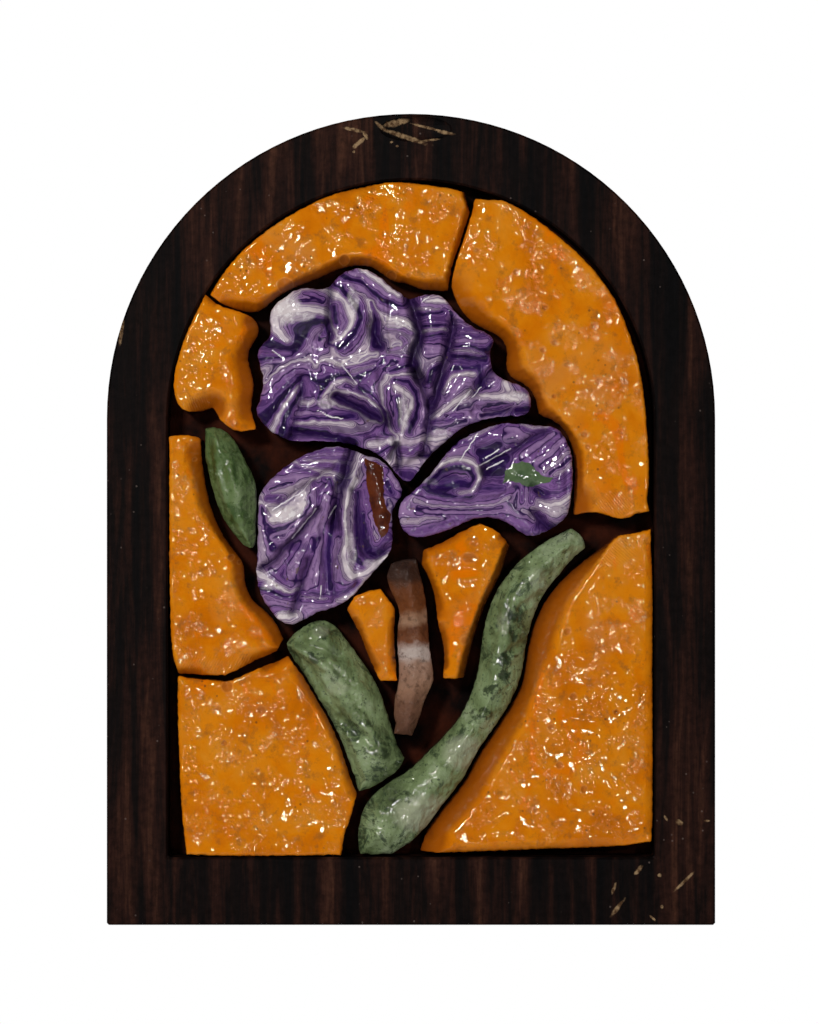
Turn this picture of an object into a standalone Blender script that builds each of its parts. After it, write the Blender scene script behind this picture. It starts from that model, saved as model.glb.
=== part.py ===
"""Arched mosaic panel: a carved iris in purple stone between orange tiles, in a dark wooden frame.

The panel is modelled upright, as it hangs on a wall. X runs to the right, Z runs up and the
front faces -Y. The origin is the middle of the flat back, which lies in the plane Y = 0.

Every stone is cut to an outline. An outline is written in shares of the arched opening, so the
stones follow the opening when its size changes: across runs from -100 at the left side to 100 at
the right side, and up runs from 0 at the sill to 100 at the spring of the arch and on to 200 at
the crown.
"""
import math

import bmesh
import bpy
import numpy as np

MM = 0.001

# The wooden frame and the board behind it
PANEL_WIDTH = 150 * MM
PANEL_HEIGHT = 200 * MM
SIDE_BAR = 15 * MM
SILL_BAR = 16.7 * MM
HEAD_BAR = 16.3 * MM
FRAME_THICKNESS = 11.7 * MM
BACKING_THICKNESS = 4 * MM
FRAME_EDGE_WEAR = 0.5 * MM
ARCH_STEPS = 60

# A flake that is missing from the front of the frame, under its crown
CHIP_LENGTH = 18 * MM
CHIP_HEIGHT = 6.4 * MM
CHIP_DEPTH = 1.0 * MM
CHIP_BELOW_CROWN = 3.8 * MM
CHIP_RIGHT = 1.2 * MM

# Clearances between the pieces
GLUE_GAP = 0.3 * MM
RIM_CLEARANCE = 0.4 * MM

# How far the stones stand in front of the backing board
TILE_HEIGHT = 12.6 * MM
PETAL_HEIGHT = 13.4 * MM
LEAF_HEIGHT = 13.8 * MM
STEM_HEIGHT = 13.0 * MM
LOWEST_STONE = 4.0 * MM

# The unit of the carving: widths and rises of the grooves, humps and slopes are multiples of it
RELIEF = 1.0 * MM

# Mesh sizes: the outline's spacing, the first ring inside the edge and the cells of the face
TILE_MESH = (3.2 * MM, 0.9 * MM, 6.5 * MM)
PETAL_MESH = (2.2 * MM, 0.7 * MM, 2.7 * MM)
LEAF_MESH = (3.0 * MM, 0.8 * MM, 4.0 * MM)

OUTER_RADIUS = PANEL_WIDTH / 2
OUTER_SPRING = PANEL_HEIGHT - OUTER_RADIUS
OPENING_RADIUS = OUTER_RADIUS - SIDE_BAR
OPENING_SPRING = PANEL_HEIGHT - HEAD_BAR - OPENING_RADIUS
STRAIGHT = OPENING_SPRING - SILL_BAR
PANEL_FOOT = -PANEL_HEIGHT / 2
SILL = PANEL_FOOT + SILL_BAR
SPRING = PANEL_FOOT + OPENING_SPRING
BACKING_FRONT = -BACKING_THICKNESS
FRAME_BACK = BACKING_FRONT - GLUE_GAP
FRAME_FRONT = FRAME_BACK - FRAME_THICKNESS
STONE_BACK = BACKING_FRONT - GLUE_GAP
FLOWER_HEART = (0, 100)

# Colours in linear light
DARK_WOOD = (0.020, 0.010, 0.008)
BACKING_WOOD = (0.028, 0.009, 0.004)
ORANGE_STONE = (0.56, 0.20, 0.022)
PURPLE_STONE = (0.30, 0.20, 0.42)
GREEN_STONE = (0.12, 0.21, 0.10)
BANDED_STONE = (0.30, 0.17, 0.11)


def place(across, up):
    """The point of the panel's face that a share of the opening stands for."""
    x = across / 100 * OPENING_RADIUS
    z = SILL + min(up, 100) / 100 * STRAIGHT + max(up - 100, 0) / 100 * OPENING_RADIUS
    return (x, z)


def places(shares):
    """The same for a list of shares, as an array with one row for each point."""
    return np.array([place(across, up) for across, up in shares])


def curve_through(corners, spacing):
    """A smooth closed line through the corners, walked in even steps of about the spacing.

    At each corner the line runs parallel to the chord between its neighbours, and the shorter
    neighbour limits its pull, so a long side next to a tight corner stays straight.
    """
    after = np.roll(corners, -1, axis=0)
    before = np.roll(corners, 1, axis=0)
    side = np.linalg.norm(after - corners, axis=1)
    chord = after - before
    pull = np.minimum(side, np.roll(side, 1)) / np.linalg.norm(chord, axis=1)
    tangent = chord * pull[:, None]
    fine = []
    for i in range(len(corners)):
        j = (i + 1) % len(corners)
        for t in np.linspace(0, 1, 12, endpoint=False):
            start = (2 * t**3 - 3 * t**2 + 1) * corners[i] + (t**3 - 2 * t**2 + t) * tangent[i]
            end = (3 * t**2 - 2 * t**3) * corners[j] + (t**3 - t**2) * tangent[j]
            fine.append(start + end)
    fine = np.array(fine)
    steps = np.linalg.norm(np.roll(fine, -1, axis=0) - fine, axis=1)
    walked = np.concatenate([[0], np.cumsum(steps)])
    closed = np.vstack([fine, fine[:1]])
    count = max(12, round(walked[-1] / spacing))
    stops = np.linspace(0, walked[-1], count, endpoint=False)
    return np.column_stack([np.interp(stops, walked, closed[:, k]) for k in range(2)])


def keep_inside_opening(outline):
    """Pull what would touch the frame back to the clearance that the mason left."""
    half = OPENING_RADIUS - RIM_CLEARANCE
    kept = []
    for x, z in outline:
        reach = math.hypot(x, z - SPRING)
        if z > SPRING and reach > half:
            x = x * half / reach
            z = SPRING + (z - SPRING) * half / reach
        kept.append((min(max(x, -half), half), max(z, SILL + RIM_CLEARANCE)))
    return np.array(kept)


def clockwise(outline):
    """The same outline walked clockwise, so that the outward side is always on the left."""
    after = np.roll(outline, -1, axis=0)
    signed = (outline[:, 0] * after[:, 1] - after[:, 0] * outline[:, 1]).sum()
    return outline[::-1] if signed > 0 else outline


def run_distances(points, starts, ends):
    """Distance from every point to every straight run, as a table of points by runs."""
    run = ends - starts
    length = np.maximum((run**2).sum(axis=1), 1e-12)
    offset = points[:, None, :] - starts[None, :, :]
    along = np.clip((offset * run[None]).sum(axis=2) / length[None], 0, 1)
    return np.linalg.norm(offset - along[..., None] * run[None], axis=2)


def edge_fall(points, outline, edge, slope, facing):
    """How far the face drops near the edge.

    Every side of the outline rounds down by the edge's own width and drop. Sides that look
    towards the facing point are ground to the wider slope as well.
    """
    starts = outline
    ends = np.roll(outline, -1, axis=0)
    run = ends - starts
    outward = np.column_stack([-run[:, 1], run[:, 0]])
    outward /= np.linalg.norm(outward, axis=1)[:, None]
    aim = np.array(facing) - (starts + ends) / 2
    aim /= np.linalg.norm(aim, axis=1)[:, None]
    share = np.clip((outward * aim).sum(axis=1), 0, 1)
    width = edge[0] + (slope[0] - edge[0]) * share
    drop = edge[1] + (slope[1] - edge[1]) * share
    inward = np.clip(run_distances(points, starts, ends) / width[None], 0, 1)
    return (drop[None] * (1 - inward) ** 1.6).max(axis=1)


def carve(points, cuts):
    """Height that the carving adds to the face: grooves are negative, ridges positive."""
    height = np.zeros(len(points))
    for shares, width, rise in cuts:
        line = places(shares)
        gap = run_distances(points, line[:-1], line[1:]).min(axis=1) / width
        height += rise * np.clip(1 - gap**2, 0, 1) ** 2
    return height


def swell(points, humps):
    """Height that the round humps and hollows add: centre, half sizes and rise of each."""
    height = np.zeros(len(points))
    for centre, half_sizes, rise in humps:
        gap = (points - np.array(place(*centre))) / np.array(half_sizes)
        height += rise * np.clip(1 - (gap**2).sum(axis=1), 0, 1) ** 2
    return height


def collection(name):
    """A new collection linked to the scene."""
    group = bpy.data.collections.new(name)
    bpy.context.scene.collection.children.link(group)
    return group


def finish_object(name, mesh, colour, roughness, group):
    """Put a mesh in the scene as a named piece with its own material."""
    material = bpy.data.materials.new(name + "_material")
    material.use_nodes = True
    shader = material.node_tree.nodes["Principled BSDF"]
    shader.inputs["Base Color"].default_value = (*colour, 1)
    shader.inputs["Roughness"].default_value = roughness
    shader.inputs["Metallic"].default_value = 0
    mesh.materials.append(material)
    piece = bpy.data.objects.new(name, mesh)
    group.objects.link(piece)
    return piece


def arch_loop(half_width, foot, spring):
    """Corners of an arched outline, clockwise from the bottom left."""
    loop = [(-half_width, foot)]
    for step in range(ARCH_STEPS + 1):
        angle = math.pi * (1 - step / ARCH_STEPS)
        loop.append((half_width * math.cos(angle), spring + half_width * math.sin(angle)))
    loop.append((half_width, foot))
    return loop


def loop_edges(bm, loop, y):
    """Add a closed loop of edges at one depth."""
    verts = [bm.verts.new((x, y, z)) for x, z in loop]
    return [bm.edges.new((verts[i - 1], verts[i])) for i in range(len(verts))]


def push_front(bm, faces, depth):
    """Extrude flat faces towards the front and return the faces that now lie there."""
    made = bmesh.ops.extrude_face_region(bm, geom=faces)["geom"]
    moved = [item for item in made if isinstance(item, bmesh.types.BMVert)]
    bmesh.ops.translate(bm, verts=moved, vec=(0, -depth, 0))
    return [item for item in made if isinstance(item, bmesh.types.BMFace)]


def close_mesh(bm, name):
    """Turn a finished bmesh into a mesh whose faces point outwards."""
    bmesh.ops.recalc_face_normals(bm, faces=bm.faces)
    mesh = bpy.data.meshes.new(name)
    bm.to_mesh(mesh)
    bm.free()
    return mesh


def wear_edges(piece, width):
    """Break the sharp edges of a sawn board."""
    bevel = piece.modifiers.new("worn_edges", "BEVEL")
    bevel.width = width
    bevel.segments = 1
    bevel.limit_method = "ANGLE"
    bevel.angle_limit = math.radians(40)


def make_frame(group, cutters):
    """The arched ring that is sawn from one board, with the flake that is missing."""
    bm = bmesh.new()
    outer = loop_edges(bm, arch_loop(OUTER_RADIUS, PANEL_FOOT, PANEL_FOOT + OUTER_SPRING), FRAME_BACK)
    inner = loop_edges(bm, arch_loop(OPENING_RADIUS, SILL, SPRING), FRAME_BACK)
    ring = bmesh.ops.bridge_loops(bm, edges=outer + inner)["faces"]
    push_front(bm, ring, FRAME_THICKNESS)
    frame = finish_object("frame", close_mesh(bm, "frame"), DARK_WOOD, 0.45, group)
    wear_edges(frame, FRAME_EDGE_WEAR)

    bpy.ops.mesh.primitive_uv_sphere_add(segments=20, ring_count=10, radius=1)
    chip = bpy.context.object
    chip.name = "chip_cutter"
    chip.location = (CHIP_RIGHT, FRAME_FRONT, PANEL_HEIGHT + PANEL_FOOT - CHIP_BELOW_CROWN)
    chip.scale = (CHIP_LENGTH / 2, CHIP_DEPTH, CHIP_HEIGHT / 2)
    chip.hide_render = True
    chip.display_type = "WIRE"
    for holder in list(chip.users_collection):
        holder.objects.unlink(chip)
    cutters.objects.link(chip)
    cut = frame.modifiers.new("chip", "BOOLEAN")
    cut.operation = "DIFFERENCE"
    cut.solver = "EXACT"
    cut.object = chip


def make_backing(group):
    """The thin board that closes the opening from behind and lies on the wall."""
    bm = bmesh.new()
    bmesh.ops.contextual_create(
        bm, geom=loop_edges(bm, arch_loop(OUTER_RADIUS, PANEL_FOOT, PANEL_FOOT + OUTER_SPRING), 0)
    )
    push_front(bm, bm.faces[:], BACKING_THICKNESS)
    backing = finish_object("backboard", close_mesh(bm, "backboard"), BACKING_WOOD, 0.5, group)
    wear_edges(backing, FRAME_EDGE_WEAR)


def cut_into_cells(bm, face, cell):
    """Cut one flat face along a square grid, so that it can be carved."""
    corners = np.array([vert.co for vert in face.verts])
    geometry = [face] + list(face.edges) + list(face.verts)
    for axis in (0, 2):
        low = corners[:, axis].min()
        high = corners[:, axis].max()
        count = max(2, round((high - low) / cell))
        for step in range(1, count):
            point = [0, 0, 0]
            point[axis] = low + (high - low) * step / count
            normal = [0, 0, 0]
            normal[axis] = 1
            cut = bmesh.ops.bisect_plane(
                bm, geom=geometry, dist=cell * 0.06, plane_co=point, plane_no=normal
            )
            geometry = cut["geom"]


def make_stone(name, group, shares, look, height, mesh_sizes, edge, slope, facing, cuts=(), humps=()):
    """One stone: its outline pushed forward, and its face ground and carved."""
    spacing, ring_width, cell = mesh_sizes
    outline = clockwise(keep_inside_opening(curve_through(places(shares), spacing)))
    bm = bmesh.new()
    bmesh.ops.contextual_create(bm, geom=loop_edges(bm, outline, STONE_BACK))
    face = push_front(bm, bm.faces[:], height)
    bmesh.ops.inset_region(
        bm, faces=face, thickness=ring_width, use_even_offset=True, use_boundary=True
    )
    cut_into_cells(bm, face[0], cell)
    bmesh.ops.triangulate(bm, faces=bm.faces[:])

    front = [vert for vert in bm.verts if vert.co.y < STONE_BACK - height / 2]
    points = np.array([(vert.co.x, vert.co.z) for vert in front])
    top = height - edge_fall(points, outline, edge, slope, place(*facing))
    top += carve(points, cuts) + swell(points, humps)
    for vert, stand in zip(front, np.maximum(top, LOWEST_STONE)):
        vert.co.y = STONE_BACK - stand
    colour, roughness = look
    return finish_object(name, close_mesh(bm, name), colour, roughness, group)


TILE_OUTLINES = {
    "tile_top": [
        (-82.4, 153.2), (-79.8, 157.6), (-74.5, 165), (-67.5, 172.5), (-58, 180), (-47, 187),
        (-36, 192.4), (-29, 195.6), (-22, 196.4), (-12, 198.6), (-4, 199.2), (8, 197.6),
        (18.6, 196.2), (22, 194.4), (25.2, 192), (24.4, 187.8), (21.1, 177.1), (17.9, 167.6),
        (15.8, 161.2), (15.5, 155.3), (9, 154.8), (4, 155), (-1, 157.6), (-8.5, 158.6),
        (-13, 163), (-19, 165.4), (-29, 164), (-38, 159.8), (-47, 156.6), (-56, 151.6),
        (-61, 146.8), (-65, 145.3), (-69.5, 146.3), (-75, 147.9), (-80, 150.3),
    ],
    "tile_upper_left": [
        (-84.4, 152.8), (-80.6, 149.4), (-75.2, 147), (-69.3, 145.5), (-65.2, 143.9),
        (-62.4, 140.6), (-62.9, 136), (-66.3, 131.8), (-67.9, 128), (-66, 122), (-64.6, 114),
        (-66.2, 107), (-65.4, 102.6), (-63.9, 99.6), (-66.4, 98.2), (-70.6, 98), (-74.4, 98.5),
        (-77.4, 100.2), (-80, 103.6), (-81.4, 106.4), (-84, 105.2), (-88, 104.8), (-92, 104.4),
        (-94.8, 105.8), (-97, 110.4), (-98, 119), (-97.7, 129), (-95, 137), (-91.5, 145),
        (-88, 150.3),
    ],
    "tile_upper_right": [
        (26.6, 191.8), (30, 191.6), (34, 191.8), (37, 192), (45, 188), (54, 182), (63, 174.8),
        (71, 167.4), (78, 159.4), (84.5, 149.4), (89.5, 137.5), (93.5, 124.5), (95.8, 111),
        (96.8, 100), (97.8, 90), (97.4, 84), (96, 79.8), (91.5, 79), (85.8, 77.5), (81, 79),
        (74, 79.6), (69, 79.1), (67.1, 81.2), (67.1, 84.5), (67.7, 88.5), (67.2, 92.4),
        (65.4, 96.4), (62.2, 99.3), (57.6, 101.8), (51.8, 104), (51.8, 108.5), (50.6, 112.8),
        (46.8, 116.4), (41, 118.8), (38.9, 123), (39.9, 130), (37.6, 135.4), (33, 137.8),
        (27, 140.5), (21.5, 145.2), (18.2, 151), (17, 156), (17.1, 161), (18.8, 167.2),
        (22, 176.8), (25.3, 187.3),
    ],
    "tile_left": [
        (-99, 96.2), (-96, 97.2), (-92, 97.6), (-88.5, 97), (-86.7, 95.6), (-86.2, 92),
        (-85.4, 88), (-83.4, 82.5), (-80.5, 77.5), (-76.5, 73.3), (-71.5, 69.6), (-68.6, 67.5),
        (-68.9, 64.6), (-67.3, 61), (-64.2, 58.3), (-59.8, 56.6), (-55.8, 54.2), (-53.4, 51.4),
        (-52.9, 49.4), (-52.7, 47.9), (-58, 46.7), (-65, 45.1), (-71.5, 43.1), (-76, 42.2),
        (-84, 41.9), (-91, 42.2), (-95.4, 42.7), (-98, 47), (-98.9, 56), (-99.3, 70), (-99.4, 85),
    ],
    "tile_lower_left": [
        (-95.4, 41.5), (-90, 41.2), (-82, 40.8), (-75.4, 40.7), (-71, 41.4), (-65, 43),
        (-59, 44.3), (-54, 45.3), (-51, 45.9), (-49.4, 45.2), (-45, 42.1), (-40.6, 38.1),
        (-36.2, 33.8), (-32.3, 29.8), (-28.9, 25.2), (-26.3, 20.6), (-24.2, 16.8), (-22.5, 14.3),
        (-23.2, 12.6), (-25, 8.8), (-27.6, 5.2), (-28.1, 2.4), (-29, 0.9), (-36, 0.5),
        (-46, 0.4), (-60, 0), (-75, 0), (-88, 0.5), (-91.6, 1.4), (-93.2, 5), (-94.4, 13),
        (-95.2, 23), (-95.8, 34),
    ],
    "tile_lower_right": [
        (97.4, 75), (91, 74.6), (85.4, 73.9), (81.6, 72.4), (76, 70.2), (69.6, 67.4),
        (63, 64.2), (58, 60.9), (53.4, 56.8), (50.4, 53), (48.6, 49.2), (47.5, 45.6),
        (46.7, 42), (44.8, 38.4), (41.1, 34.6), (33.8, 28.4), (27.4, 22.9), (22.5, 17.5),
        (15, 12.2), (8.6, 7.6), (5.2, 4.4), (4.6, 2), (6.5, 1), (23, 1.2), (51, 1.8),
        (72, 2.2), (86, 2.7), (95.6, 3.3), (98.4, 4.4), (99.4, 8), (99.4, 22), (99.2, 45),
        (99.3, 62), (98.6, 72),
    ],
    "wedge_left": [
        (-26, 57), (-25.2, 58.6), (-23, 59.8), (-20.5, 61), (-17, 61.5), (-13.4, 61.6),
        (-11.6, 60.2), (-8.8, 58.9), (-6.9, 57.2), (-6.5, 54.8), (-7, 52), (-6.8, 48.5),
        (-6.2, 45), (-5.9, 41.6), (-8, 40.9), (-12.2, 40.9), (-13.6, 42.4), (-16, 44.2),
        (-18.4, 47.4), (-20.6, 51), (-23.6, 54.2),
    ],
    "wedge_right": [
        (4.6, 67.2), (4.9, 69.6), (7.2, 71.4), (11.6, 72), (17, 73.9), (23, 75.7), (28.3, 76.6),
        (33.5, 75.9), (38, 73.9), (40.1, 71.7), (39.2, 69.4), (37.4, 65.8), (34, 61.8),
        (30.4, 58), (27.4, 53.4), (25.2, 49), (23.4, 45), (21.8, 41.9), (17.5, 41.2),
        (13.4, 41.7), (13.9, 46.7), (12.6, 50.6), (10.9, 54.6), (10.1, 59), (8.6, 62.6),
        (6.2, 65.6),
    ],
}

PETAL_OUTLINES = {
    "upper_petals": [
        (-58.5, 144), (-56.8, 147), (-52.5, 151.2), (-47, 154.7), (-42, 155.6), (-37, 154.6),
        (-33.2, 156.4), (-29, 161), (-24.5, 163.3), (-20, 163.5), (-14.5, 161.1), (-9.5, 157.2),
        (-6.4, 153.9), (-3.4, 153.1), (-1.3, 150.6), (2, 151.8), (8, 153), (13, 152),
        (16.2, 148.2), (20, 143.4), (26, 139), (32, 136.6), (34.4, 134), (32.8, 130.5),
        (32.6, 125), (34.4, 120.4), (40, 117.1), (45.8, 115.2), (49, 111.8), (49.4, 107),
        (46.6, 102.9), (41, 103.2), (34, 102.3), (27, 100.6), (20, 98.6), (15, 96.2),
        (11.5, 94.4), (6.5, 92), (2.5, 88.4), (-2, 86.3), (-7.9, 89.8), (-12.5, 92.5),
        (-19.5, 94.3), (-27, 95.5), (-38, 95.9), (-50, 96), (-57, 98), (-62, 101.4),
        (-63.8, 104.8), (-61.4, 112), (-60.7, 119), (-63.3, 128), (-62.4, 131), (-58, 135),
        (-57.4, 139.5),
    ],
    "lower_left_petal": [
        (-63.4, 66), (-63, 70), (-62.8, 78), (-62.4, 83.2), (-59.5, 85.8), (-54.5, 88.6),
        (-48.5, 91.2), (-42.5, 93), (-36, 94.3), (-30, 94.7), (-25, 94.1), (-21, 92.9),
        (-17, 92.4), (-13.4, 91.8), (-10.3, 90.5), (-6.9, 88.1), (-4, 85.6), (-3.2, 83.9),
        (-5.6, 82), (-7.8, 80), (-7.6, 75), (-8, 71.5), (-9.6, 69.3), (-14, 66.6),
        (-18.5, 63.8), (-22, 61.3), (-27, 58.9), (-33, 57.3), (-39.5, 56.3), (-45, 54.4),
        (-50, 53.5), (-54, 54.6), (-58, 57.2), (-61.6, 60.4), (-62.8, 63),
    ],
    "lower_right_petal": [
        (-5, 80.8), (-3.6, 82.3), (0, 83.8), (4, 86), (7.7, 87.9), (10.4, 90), (14.5, 93),
        (20, 96), (28, 98.3), (35.5, 99.7), (41, 100.1), (49, 99.6), (57.5, 99.3), (61.5, 98),
        (64.7, 95), (66.2, 91.5), (66.5, 87.5), (65.8, 83.5), (64.6, 79.6), (62.6, 77.5),
        (59.8, 76.5), (56, 75.2), (50, 73.9), (46.4, 74.3), (42, 76.2), (37, 77.8), (30.5, 78.4),
        (24.5, 77.8), (18, 76.1), (10.5, 74.5), (4, 73.7), (-1, 74.1), (-3.8, 75.9), (-5.1, 78.2),
    ],
}

LEAF_OUTLINES = {
    "small_leaf": [
        (-84.6, 97), (-83.6, 98.7), (-81.2, 99.7), (-78, 98.8), (-75.6, 97.6), (-73.4, 96.9),
        (-71, 94.6), (-68.5, 91.6), (-65.4, 88.4), (-63.6, 85.2), (-63.7, 80), (-63.9, 75),
        (-64.1, 71.4), (-66.4, 70.4), (-69.5, 72.3), (-73.5, 74.9), (-77, 77.6), (-79.8, 81.2),
        (-82.4, 86.5), (-84.3, 91), (-84.9, 94.5),
    ],
    "short_leaf": [
        (-51.8, 49.2), (-50.8, 50.3), (-47.6, 51.6), (-44, 53.2), (-40.2, 54.4), (-36, 54.7),
        (-33, 54.2), (-30, 52.6), (-26.6, 50), (-22.6, 47), (-18.8, 44), (-15.4, 41),
        (-12.7, 38), (-10.6, 34.6), (-8.8, 31.2), (-6.4, 27), (-3.9, 23.3), (-3, 21.6),
        (-5, 20), (-9.4, 18.3), (-14, 16.6), (-18.2, 15.2), (-20.6, 15.9), (-23, 18),
        (-25, 21.2), (-28, 26), (-32, 30.6), (-36, 34.6), (-40.5, 39), (-45, 43),
        (-49.4, 46.4), (-51.4, 48),
    ],
    "long_leaf": [
        (72.4, 72.8), (67.6, 69.4), (60, 64.6), (54, 60), (49.8, 54.4), (47.2, 49),
        (45.6, 42.4), (40.4, 35.2), (33, 29), (26.4, 23.4), (21.4, 18), (14, 12.8), (6, 6.8),
        (-2, 2.6), (-11, 0.7), (-19.6, 0.6), (-22, 4.4), (-19.4, 11.4), (-12, 16), (-1, 19.8),
        (9.5, 25.5), (18.6, 31), (24.6, 37.2), (28.2, 44.6), (30, 52.6), (34.6, 60.6),
        (43, 67.2), (54, 72.2), (64.4, 75.3), (69.4, 74.6),
    ],
}

STEM_OUTLINE = [
    (-10.4, 66), (-9, 67.8), (-6, 68.6), (-2, 68.7), (1.2, 68.3), (2.9, 67), (4, 64.6),
    (5.4, 61.4), (6.4, 57.6), (7, 53), (7.6, 48.6), (8.6, 44.4), (9.6, 41.4), (7.8, 38.8),
    (5.6, 36.2), (4, 33.2), (2.6, 30.4), (1.2, 28.4), (-1.6, 28.1), (-4.4, 28.6), (-6.4, 31),
    (-7.3, 33.6), (-6.5, 36.6), (-5.3, 39.6), (-4.7, 42.6), (-5.2, 46), (-5.7, 49.6),
    (-5.5, 53), (-4.5, 55), (-4.4, 57), (-6.8, 59.6), (-9, 62),
]

# Grooves and ridges: the line in shares, its half width and its rise
CARVED_LINES = {
    "upper_petals": [
        ([(-33.6, 157), (-33, 148), (-33.2, 141), (-32.8, 136)], 1.9 * RELIEF, -2.6 * RELIEF),
        ([(-64, 130), (-55, 130), (-47, 129.5), (-43, 133)], 2.0 * RELIEF, -1.2 * RELIEF),
        ([(-44.5, 119), (-46, 112), (-50, 104), (-52, 95)], 1.9 * RELIEF, -1.7 * RELIEF),
        ([(-30, 111.5), (-24, 109.5), (-16, 105), (-10, 100)], 3.6 * RELIEF, -3.4 * RELIEF),
        ([(-47, 101), (-38, 101), (-30, 99.5), (-22, 98)], 2.2 * RELIEF, 0.9 * RELIEF),
        ([(-48, 96.5), (-35, 97), (-26, 96.2)], 2.6 * RELIEF, -2.4 * RELIEF),
        ([(-29, 124), (-17, 109.5), (-8, 98.5), (-3.5, 91)], 1.8 * RELIEF, -1.6 * RELIEF),
        ([(-14.6, 142), (-14, 136), (-13.6, 131)], 2.6 * RELIEF, -3.4 * RELIEF),
        ([(-11.5, 149), (-11, 140), (-10, 130)], 1.8 * RELIEF, 1.2 * RELIEF),
        ([(0.5, 149), (3.4, 139), (1.6, 131), (2, 123)], 2.2 * RELIEF, -4.2 * RELIEF),
        ([(2, 123), (6, 115), (8.4, 107), (7.2, 99), (6.5, 95)], 1.7 * RELIEF, -2.6 * RELIEF),
        ([(-7, 98), (-5.6, 94.5), (-3.5, 92)], 1.8 * RELIEF, -3.2 * RELIEF),
        ([(17.8, 142), (15.3, 133), (13.6, 124), (10.6, 114)], 2.4 * RELIEF, -3.2 * RELIEF),
        ([(34, 124), (30, 118.5), (25.6, 112)], 2.0 * RELIEF, -2.0 * RELIEF),
        ([(16, 126.5), (25, 126.5), (33, 127.5)], 2.0 * RELIEF, -1.2 * RELIEF),
        ([(28, 110), (36, 110.5), (45, 109.5)], 2.2 * RELIEF, 1.0 * RELIEF),
        ([(33, 104), (40, 104.5), (47, 104)], 2.0 * RELIEF, -1.8 * RELIEF),
    ],
    "lower_left_petal": [
        ([(-31, 89.6), (-41.5, 86), (-49.8, 83), (-58, 80.2)], 1.9 * RELIEF, -1.7 * RELIEF),
        ([(-22.8, 93.6), (-26, 88), (-30.4, 83.5), (-33.6, 76.6)], 2.2 * RELIEF, -3.0 * RELIEF),
        ([(-33.6, 76.6), (-33.1, 67.4), (-31.8, 60)], 1.7 * RELIEF, -1.8 * RELIEF),
        ([(-38.7, 80), (-47, 74.5), (-55.4, 69.6), (-62, 66.4)], 1.9 * RELIEF, -2.8 * RELIEF),
        ([(-40.4, 69.8), (-43.2, 65.8), (-45, 61.8), (-48, 56.5)], 1.7 * RELIEF, -2.4 * RELIEF),
        (
            [(-20.5, 83.5), (-21, 78.2), (-20.5, 73.5), (-17.5, 69.4), (-13, 68.6)],
            2.2 * RELIEF,
            -2.0 * RELIEF,
        ),
        ([(-23.2, 86.6), (-26, 81), (-26, 75.4), (-25.4, 70.4), (-23, 65)], 1.8 * RELIEF, 1.1 * RELIEF),
        ([(-37, 84), (-38.2, 75), (-39.5, 66), (-39.5, 60)], 2.2 * RELIEF, 0.9 * RELIEF),
    ],
    "lower_right_petal": [
        ([(9.6, 89), (16, 92), (22, 93), (27, 91), (28.4, 87.5), (26, 84.2)], 2.0 * RELIEF, 1.0 * RELIEF),
        ([(31, 88.4), (37, 91), (42, 93.2), (48, 95.2), (56, 97)], 2.1 * RELIEF, -2.2 * RELIEF),
        ([(31, 91), (34, 88.6), (37, 86.4)], 2.6 * RELIEF, -1.6 * RELIEF),
        ([(49.5, 86), (53.2, 84.2), (55.6, 83.4)], 1.8 * RELIEF, -1.5 * RELIEF),
        ([(50.6, 79.4), (54.6, 77), (58, 75.6)], 2.2 * RELIEF, -3.0 * RELIEF),
        ([(19, 82.8), (29, 83.4), (38, 84.4)], 1.8 * RELIEF, 0.8 * RELIEF),
    ],
    "short_leaf": [
        ([(-45, 49.4), (-36.8, 48), (-30, 46.2)], 1.9 * RELIEF, -1.3 * RELIEF),
        ([(-50, 49), (-41, 46), (-33.6, 43.2), (-27, 39.6)], 1.8 * RELIEF, 0.8 * RELIEF),
        ([(-36, 33.6), (-26.1, 30), (-16, 26.4)], 2.4 * RELIEF, -1.1 * RELIEF),
        ([(-29, 38), (-20, 31.4), (-11, 25.4)], 2.6 * RELIEF, 0.7 * RELIEF),
    ],
    "long_leaf": [
        ([(53.4, 60.4), (44.6, 57.6)], 1.8 * RELIEF, -0.7 * RELIEF),
        ([(46.4, 49.4), (39, 47)], 1.8 * RELIEF, -0.7 * RELIEF),
    ],
    "small_leaf": [
        ([(-80.6, 98), (-79.6, 89), (-76, 81.6), (-66, 71.6)], 1.6 * RELIEF, 0.7 * RELIEF),
    ],
}

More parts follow.
